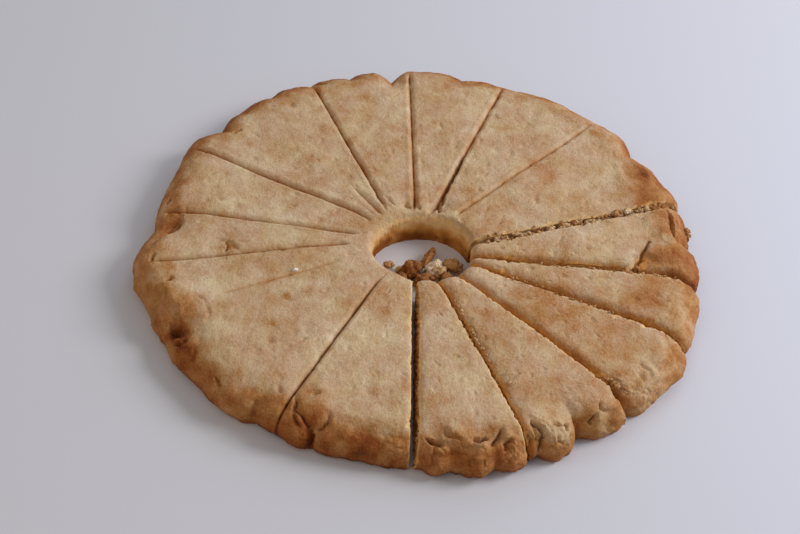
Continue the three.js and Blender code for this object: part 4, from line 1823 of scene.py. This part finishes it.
@dataclass
class Crumbs:
    """All of the loose crumbs.

    Attributes:
        seed: seed of the random draws.
        gap_chunks: larger crumbs in the right-hand gap.
        gap_browns: how brown those may be.
        gap_count: small crumbs in that gap.
        gap_start: reach where that gap's crumbs start.
        gap_end: reach where they end.
        gap_top: height that they are heaped to.
        gap_end_count: browned crumbs that close its outer end.
        hole_count: small crumbs in the hole.
        crack_count: crumbs at each bend of the crack across slice 1.
        crumbly: stretches of the through cuts with crumbs on them.
        hole_chunks: larger crumbs in the hole.
        on_crust: single crumbs that lie on the crust.
        beside_rim: crumbs that lie beside the right-hand rim.
    """

    seed: int = 7
    gap_chunks: int = 27
    gap_browns: tuple[float, ...] = (0.2, 0.22, 0.25, 0.28, 0.32, 0.5, 0.85)
    gap_count: int = 620
    gap_start: float = 27.0
    gap_end: float = 106.0
    gap_top: float = 13.4
    gap_end_count: int = 130
    hole_count: int = 60
    crack_count: int = 5
    crumbly: tuple[CrumblyEdge, ...] = (
        CrumblyEdge(Line.FRONT_RIGHT, 34, 72, (0.4, 1.4), 14.2, 34, 0.6),
        CrumblyEdge(Line.RIGHT_FRONT, 97, 109, (1.2, 3.4), 12.6, 26, 1.0),
        CrumblyEdge(Line.RIGHT_MIDDLE, 50, 88, (-2.2, -1.1), 14.0, 15, 0.7),
        CrumblyEdge(Line.RIGHT_MIDDLE, 90, 106, (-1.6, -0.9), 13.8, 12, 0.7),
        CrumblyEdge(Line.RIGHT_LOWER, 40, 85, (-1.5, -0.7), 14.0, 20, 0.5),
        CrumblyEdge(Line.RIGHT_LOWER, 104, 110, (-1.0, 1.0), 9.0, 9, 0.9),
        CrumblyEdge(Line.RIGHT, 30, 100, (-2.2, 2.2), 13.6, 60, 0.7),
    )
    hole_chunks: tuple[Crumb, ...] = (
        Crumb((6.4, 4.6, 3.4), (8.6, 2.1, 2.0), 70, 0.72),
        Crumb((9.6, -2.4, 4.0), (4.2, 4.4, 3.8), 20, 0.15),
        Crumb((16.4, 1.6, 3.4), (5.6, 3.4, 2.2), -25, 0.5),
        Crumb((0.2, -2.8, 4.0), (4.4, 4.0, 3.8), 40, 0.85),
        Crumb((-9.2, 0.8, 1.6), (2.9, 1.9, 1.6), 10, 0.4),
        Crumb((-5.4, -1.2, 1.5), (2.0, 1.6, 1.5), 50, 0.32),
        Crumb((14.0, -7.0, 3.4), (3.8, 3.0, 3.2), 60, 0.62),
        Crumb((5.4, -8.4, 3.6), (4.2, 3.2, 3.4), 10, 0.75),
        Crumb((-4.4, -8.4, 2.8), (3.4, 3.0, 2.8), 100, 0.7),
    )
    on_crust: tuple[Crumb, ...] = (
        Crumb((*spot(203.2, 49.6), 14.7), (1.2, 0.8, 0.7), 20, 0.0),
        Crumb((*spot(286.6, 74.5), 14.9), (0.6, 0.5, 0.5), 0, 0.2),
        Crumb((*spot(298.4, 80.4), 14.8), (0.7, 0.6, 0.5), 0, 0.22),
    )
    beside_rim: tuple[Crumb, ...] = (
        Crumb((113.5, 29.2, 4.2), (2.3, 3.6, 3.8), 0, 0.6),
        Crumb((113.4, 24.6, 1.6), (1.4, 1.8, 1.5), 40, 0.65),
    )

    def in_gap(self) -> CrumbHeap:
        """Crumbs that fill the right-hand gap, heaped along it by a seeded draw.

        Returns:
            The heap.
        """
        draw = random.Random(self.seed)
        line = Line.RIGHT.value
        crumbs = []
        for number in range(self.gap_chunks):
            length = self.gap_end - self.gap_start - 4
            reach = self.gap_start + 3 + length * (number + draw.random()) / self.gap_chunks
            turn = line.bearing_at(reach) + draw.uniform(-0.5, 0.5) / reach
            place = raised(reach, turn, self.gap_top - draw.uniform(-0.2, 3.0))
            size = (draw.uniform(1.5, 3.4), draw.uniform(1.3, 1.8), draw.uniform(1.3, 1.9))
            chunk = Crumb(place, size, line.direction + draw.uniform(-25, 25), draw.choice(self.gap_browns))
            crumbs += chunk.clustered(draw, 6)
        for _ in range(self.gap_count):
            reach = draw.uniform(self.gap_start, self.gap_end)
            size = draw.uniform(0.4, 0.95)
            ends = min(1.0, (reach - self.gap_start) / 8 + 0.35, (self.gap_end - reach) / 8 + 0.35)
            room = max(0.1, line.width / 2 - 0.5 * size)
            turn = line.bearing_at(reach) + draw.uniform(-room, room) / reach
            up = (self.gap_top - 2.2) * ends * (1 - 0.85 * draw.random() ** 2)
            place = raised(reach, turn, up)
            sizes = (size * draw.uniform(0.8, 1.25), size * draw.uniform(0.8, 1.1), size)
            crumbs.append(Crumb(place, sizes, draw.uniform(0, 180), draw.uniform(0.25, 0.9)))
        for _ in range(self.gap_end_count):
            reach = draw.uniform(self.gap_end - 4, self.gap_end + 8)
            size = draw.uniform(0.8, 1.5)
            turn = line.bearing_at(reach) + draw.uniform(-1.0, 1.0) / reach
            top = float(RoundShape().surface(np.array([turn]), np.array([reach]))[0]) - 0.6 * size
            place = raised(reach, turn, top * draw.uniform(0.5, 1) ** 0.5)
            crumbs.append(Crumb(place, (size, size, size), draw.uniform(0, 180), draw.uniform(0.45, 0.8)))
        return CrumbHeap("gap_crumbs", crumbs)

    def on_edges(self) -> CrumbHeap:
        """Crumbs along the broken edges of the loose slices, by a seeded draw.

        Returns:
            The heap.
        """
        draw = random.Random(self.seed + 2)
        crumbs = []
        for stretch in self.crumbly:
            for _ in range(stretch.count):
                reach = draw.uniform(stretch.start, stretch.end)
                size = draw.uniform(0.35, stretch.size)
                turn = stretch.line.value.bearing_at(reach)
                turn += draw.uniform(*stretch.across) / reach
                place = raised(reach, turn, stretch.up + 0.4 * size)
                sizes = (size * draw.uniform(0.8, 1.25), size, size * 0.9)
                crumbs.append(Crumb(place, sizes, draw.uniform(0, 180), draw.uniform(0.3, 0.7)))
        for bearing, reach in SLICE_1_CRACK.places[:5]:
            for _ in range(self.crack_count):
                size = draw.uniform(0.5, 1.0)
                x, y = spot(bearing, reach + draw.uniform(-1.6, 1.6))
                place = (x + draw.uniform(-1, 1), y + draw.uniform(-1, 1), draw.uniform(7.5, 12.0))
                turn, brown = draw.uniform(0, 180), draw.uniform(0.4, 0.65)
                crumbs.append(Crumb(place, (size, size, size), turn, brown))
        return CrumbHeap("edge_crumbs", crumbs + list(self.on_crust))

    def in_hole(self) -> CrumbHeap:
        """Chunks and small crumbs that lie in the front of the hole.

        Returns:
            The heap.
        """
        draw = random.Random(self.seed + 1)
        crumbs = [lump for chunk in self.hole_chunks for lump in chunk.clustered(draw, 9)]
        for _ in range(self.hole_count):
            turn = math.radians(draw.uniform(195, 380))
            reach = draw.uniform(3, 16)
            size = draw.uniform(0.5, 1.5)
            place = (3.5 + reach * math.cos(turn), 0.8 + reach * math.sin(turn), size * 0.8)
            sizes = (size * draw.uniform(0.8, 1.5), size * draw.uniform(0.8, 1.2), size)
            crumbs.append(Crumb(place, sizes, draw.uniform(0, 180), draw.uniform(0.3, 1.0)))
        return CrumbHeap("hole_crumbs", crumbs, ball_levels=3)

    def heaps(self) -> list[CrumbHeap]:
        """The heaps in the gap, in the hole, along the edges and beside the rim.

        Returns:
            One heap for each piece.
        """
        draw = random.Random(self.seed + 3)
        lumps = [lump for chunk in self.beside_rim for lump in chunk.clustered(draw, 6)]
        beside = CrumbHeap("rim_crumbs", lumps, ball_levels=3)
        return [self.in_gap(), self.in_hole(), self.on_edges(), beside]


@dataclass(frozen=True)
class Lamp:
    """A square soft light that faces the round.

    Attributes:
        name: its name.
        place: where it hangs, in metres.
        size: its side in metres.
        power: its power in watts.
        colour: its colour.
    """

    name: str
    place: tuple[float, float, float]
    size: float
    power: float
    colour: str

    def hang(self) -> None:
        """Hangs the light in the scene."""
        lamp = bpy.data.lights.new(self.name, "AREA")
        lamp.shape = "SQUARE"
        lamp.size = self.size
        lamp.energy = self.power
        lamp.color = linear(self.colour)[:3]
        holder = bpy.data.objects.new(self.name, lamp)
        facing = Vector(self.place).to_track_quat("Z", "Y").to_matrix().to_4x4()
        holder.matrix_world = Matrix.Translation(self.place) @ facing
        bpy.context.scene.collection.objects.link(holder)


@dataclass(frozen=True)
class Studio:
    """Floor, light and camera.

    Attributes:
        lens: lens in mm.
        sensor: width of the sensor in mm.
        elevation: how far over the horizon the camera stands, in radians.
        roll: how far it is turned about its own line of sight, in radians.
        distance: from the camera to its target, in mm.
        target: what it looks at on the floor, from the cut centre, in mm.
        floor_size: side of the floor in metres.
        floor_colour: the floor's colour.
        floor_roughness: the floor's roughness.
        lamps: the lights.
        sky: strength of the light from all round.
        sky_colour: its colour.
    """

    lens: float = 67.5
    sensor: float = 36.0
    elevation: float = math.radians(43.574)
    roll: float = math.radians(4.117)
    distance: float = 610.288
    target: tuple[float, float] = (-4.793, 1.696)
    floor_size: float = 3.0
    floor_colour: str = "#d5d5d8"
    floor_roughness: float = 0.7
    lamps: tuple[Lamp, ...] = (
        Lamp("key", (1.0, 0.16, 0.66), 0.5, 9.4, "#fffaf4"),
        Lamp("back", (0.5, 1.0, 0.55), 0.9, 5.0, "#cfdcff"),
        Lamp("fill", (-0.7, -0.5, 0.8), 1.2, 2.9, "#ffe6c8"),
        Lamp("side", (0.45, -0.05, 0.25), 0.25, 0.45, "#8cb8ff"),
    )
    sky: float = 0.30
    sky_colour: str = "#f1f3fb"

    def floor(self) -> None:
        """Lays a plain pale floor that isn't part of the round."""
        bm = bmesh.new()
        bmesh.ops.create_grid(bm, x_segments=1, y_segments=1, size=self.floor_size / 2)
        mesh = bpy.data.meshes.new("floor")
        bm.to_mesh(mesh)
        bm.free()
        material = bpy.data.materials.new("plain_floor")
        material.use_nodes = True
        shader = material.node_tree.nodes["Principled BSDF"]
        shader.inputs["Base Color"].default_value = linear(self.floor_colour)
        shader.inputs["Roughness"].default_value = self.floor_roughness
        mesh.materials.append(material)
        floor = bpy.data.objects.new("floor", mesh)
        bpy.context.scene.collection.objects.link(floor)

    def camera(self) -> None:
        """Places the camera at the photograph's viewing angle."""
        target = Vector((CUT_CENTRE[0] + self.target[0], CUT_CENTRE[1] + self.target[1], 0))
        forward = Vector((0, math.cos(self.elevation), -math.sin(self.elevation)))
        right = Vector((1, 0, 0))
        up = right.cross(forward)
        rolled_right = right * math.cos(self.roll) + up * math.sin(self.roll)
        rolled_up = up * math.cos(self.roll) - right * math.sin(self.roll)
        data = bpy.data.cameras.new("camera")
        data.lens = self.lens
        data.sensor_width = self.sensor
        data.clip_start = 0.01
        camera = bpy.data.objects.new("camera", data)
        turn = Matrix((rolled_right, rolled_up, -forward)).transposed().to_4x4()
        camera.matrix_world = Matrix.Translation((target - forward * self.distance) * MM) @ turn
        bpy.context.scene.collection.objects.link(camera)
        bpy.context.scene.camera = camera

    def build(self) -> None:
        """Builds the floor, the lights, the sky and the camera."""
        self.floor()
        for lamp in self.lamps:
            lamp.hang()
        world = bpy.data.worlds.new("sky")
        world.use_nodes = True
        background = world.node_tree.nodes["Background"]
        background.inputs["Color"].default_value = linear(self.sky_colour)
        background.inputs["Strength"].default_value = self.sky
        bpy.context.scene.world = world
        bpy.context.scene.view_settings.view_transform = "Standard"
        self.camera()


def dress(piece: bpy.types.Object, material: bpy.types.Material) -> None:
    """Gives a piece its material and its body.

    Args:
        piece: the piece.
        material: its finish.
    """
    piece.data.materials.append(material)
    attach(piece, "root")
    log.info("%s: %d faces", piece.name, len(piece.data.polygons))


def main() -> None:
    """Builds the studio, the pieces of the round and the crumbs."""
    Studio().build()
    grain = SandyGrain()
    crust = CrustFinish().material(grain)
    loose = CrumbFinish().material(grain)
    for part in PIECES:
        piece = part.build()
        dress(piece, crust)
        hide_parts(part.node)
    for heap in Crumbs().heaps():
        dress(heap.build(), loose)


if __name__ == "__main__":
    main()
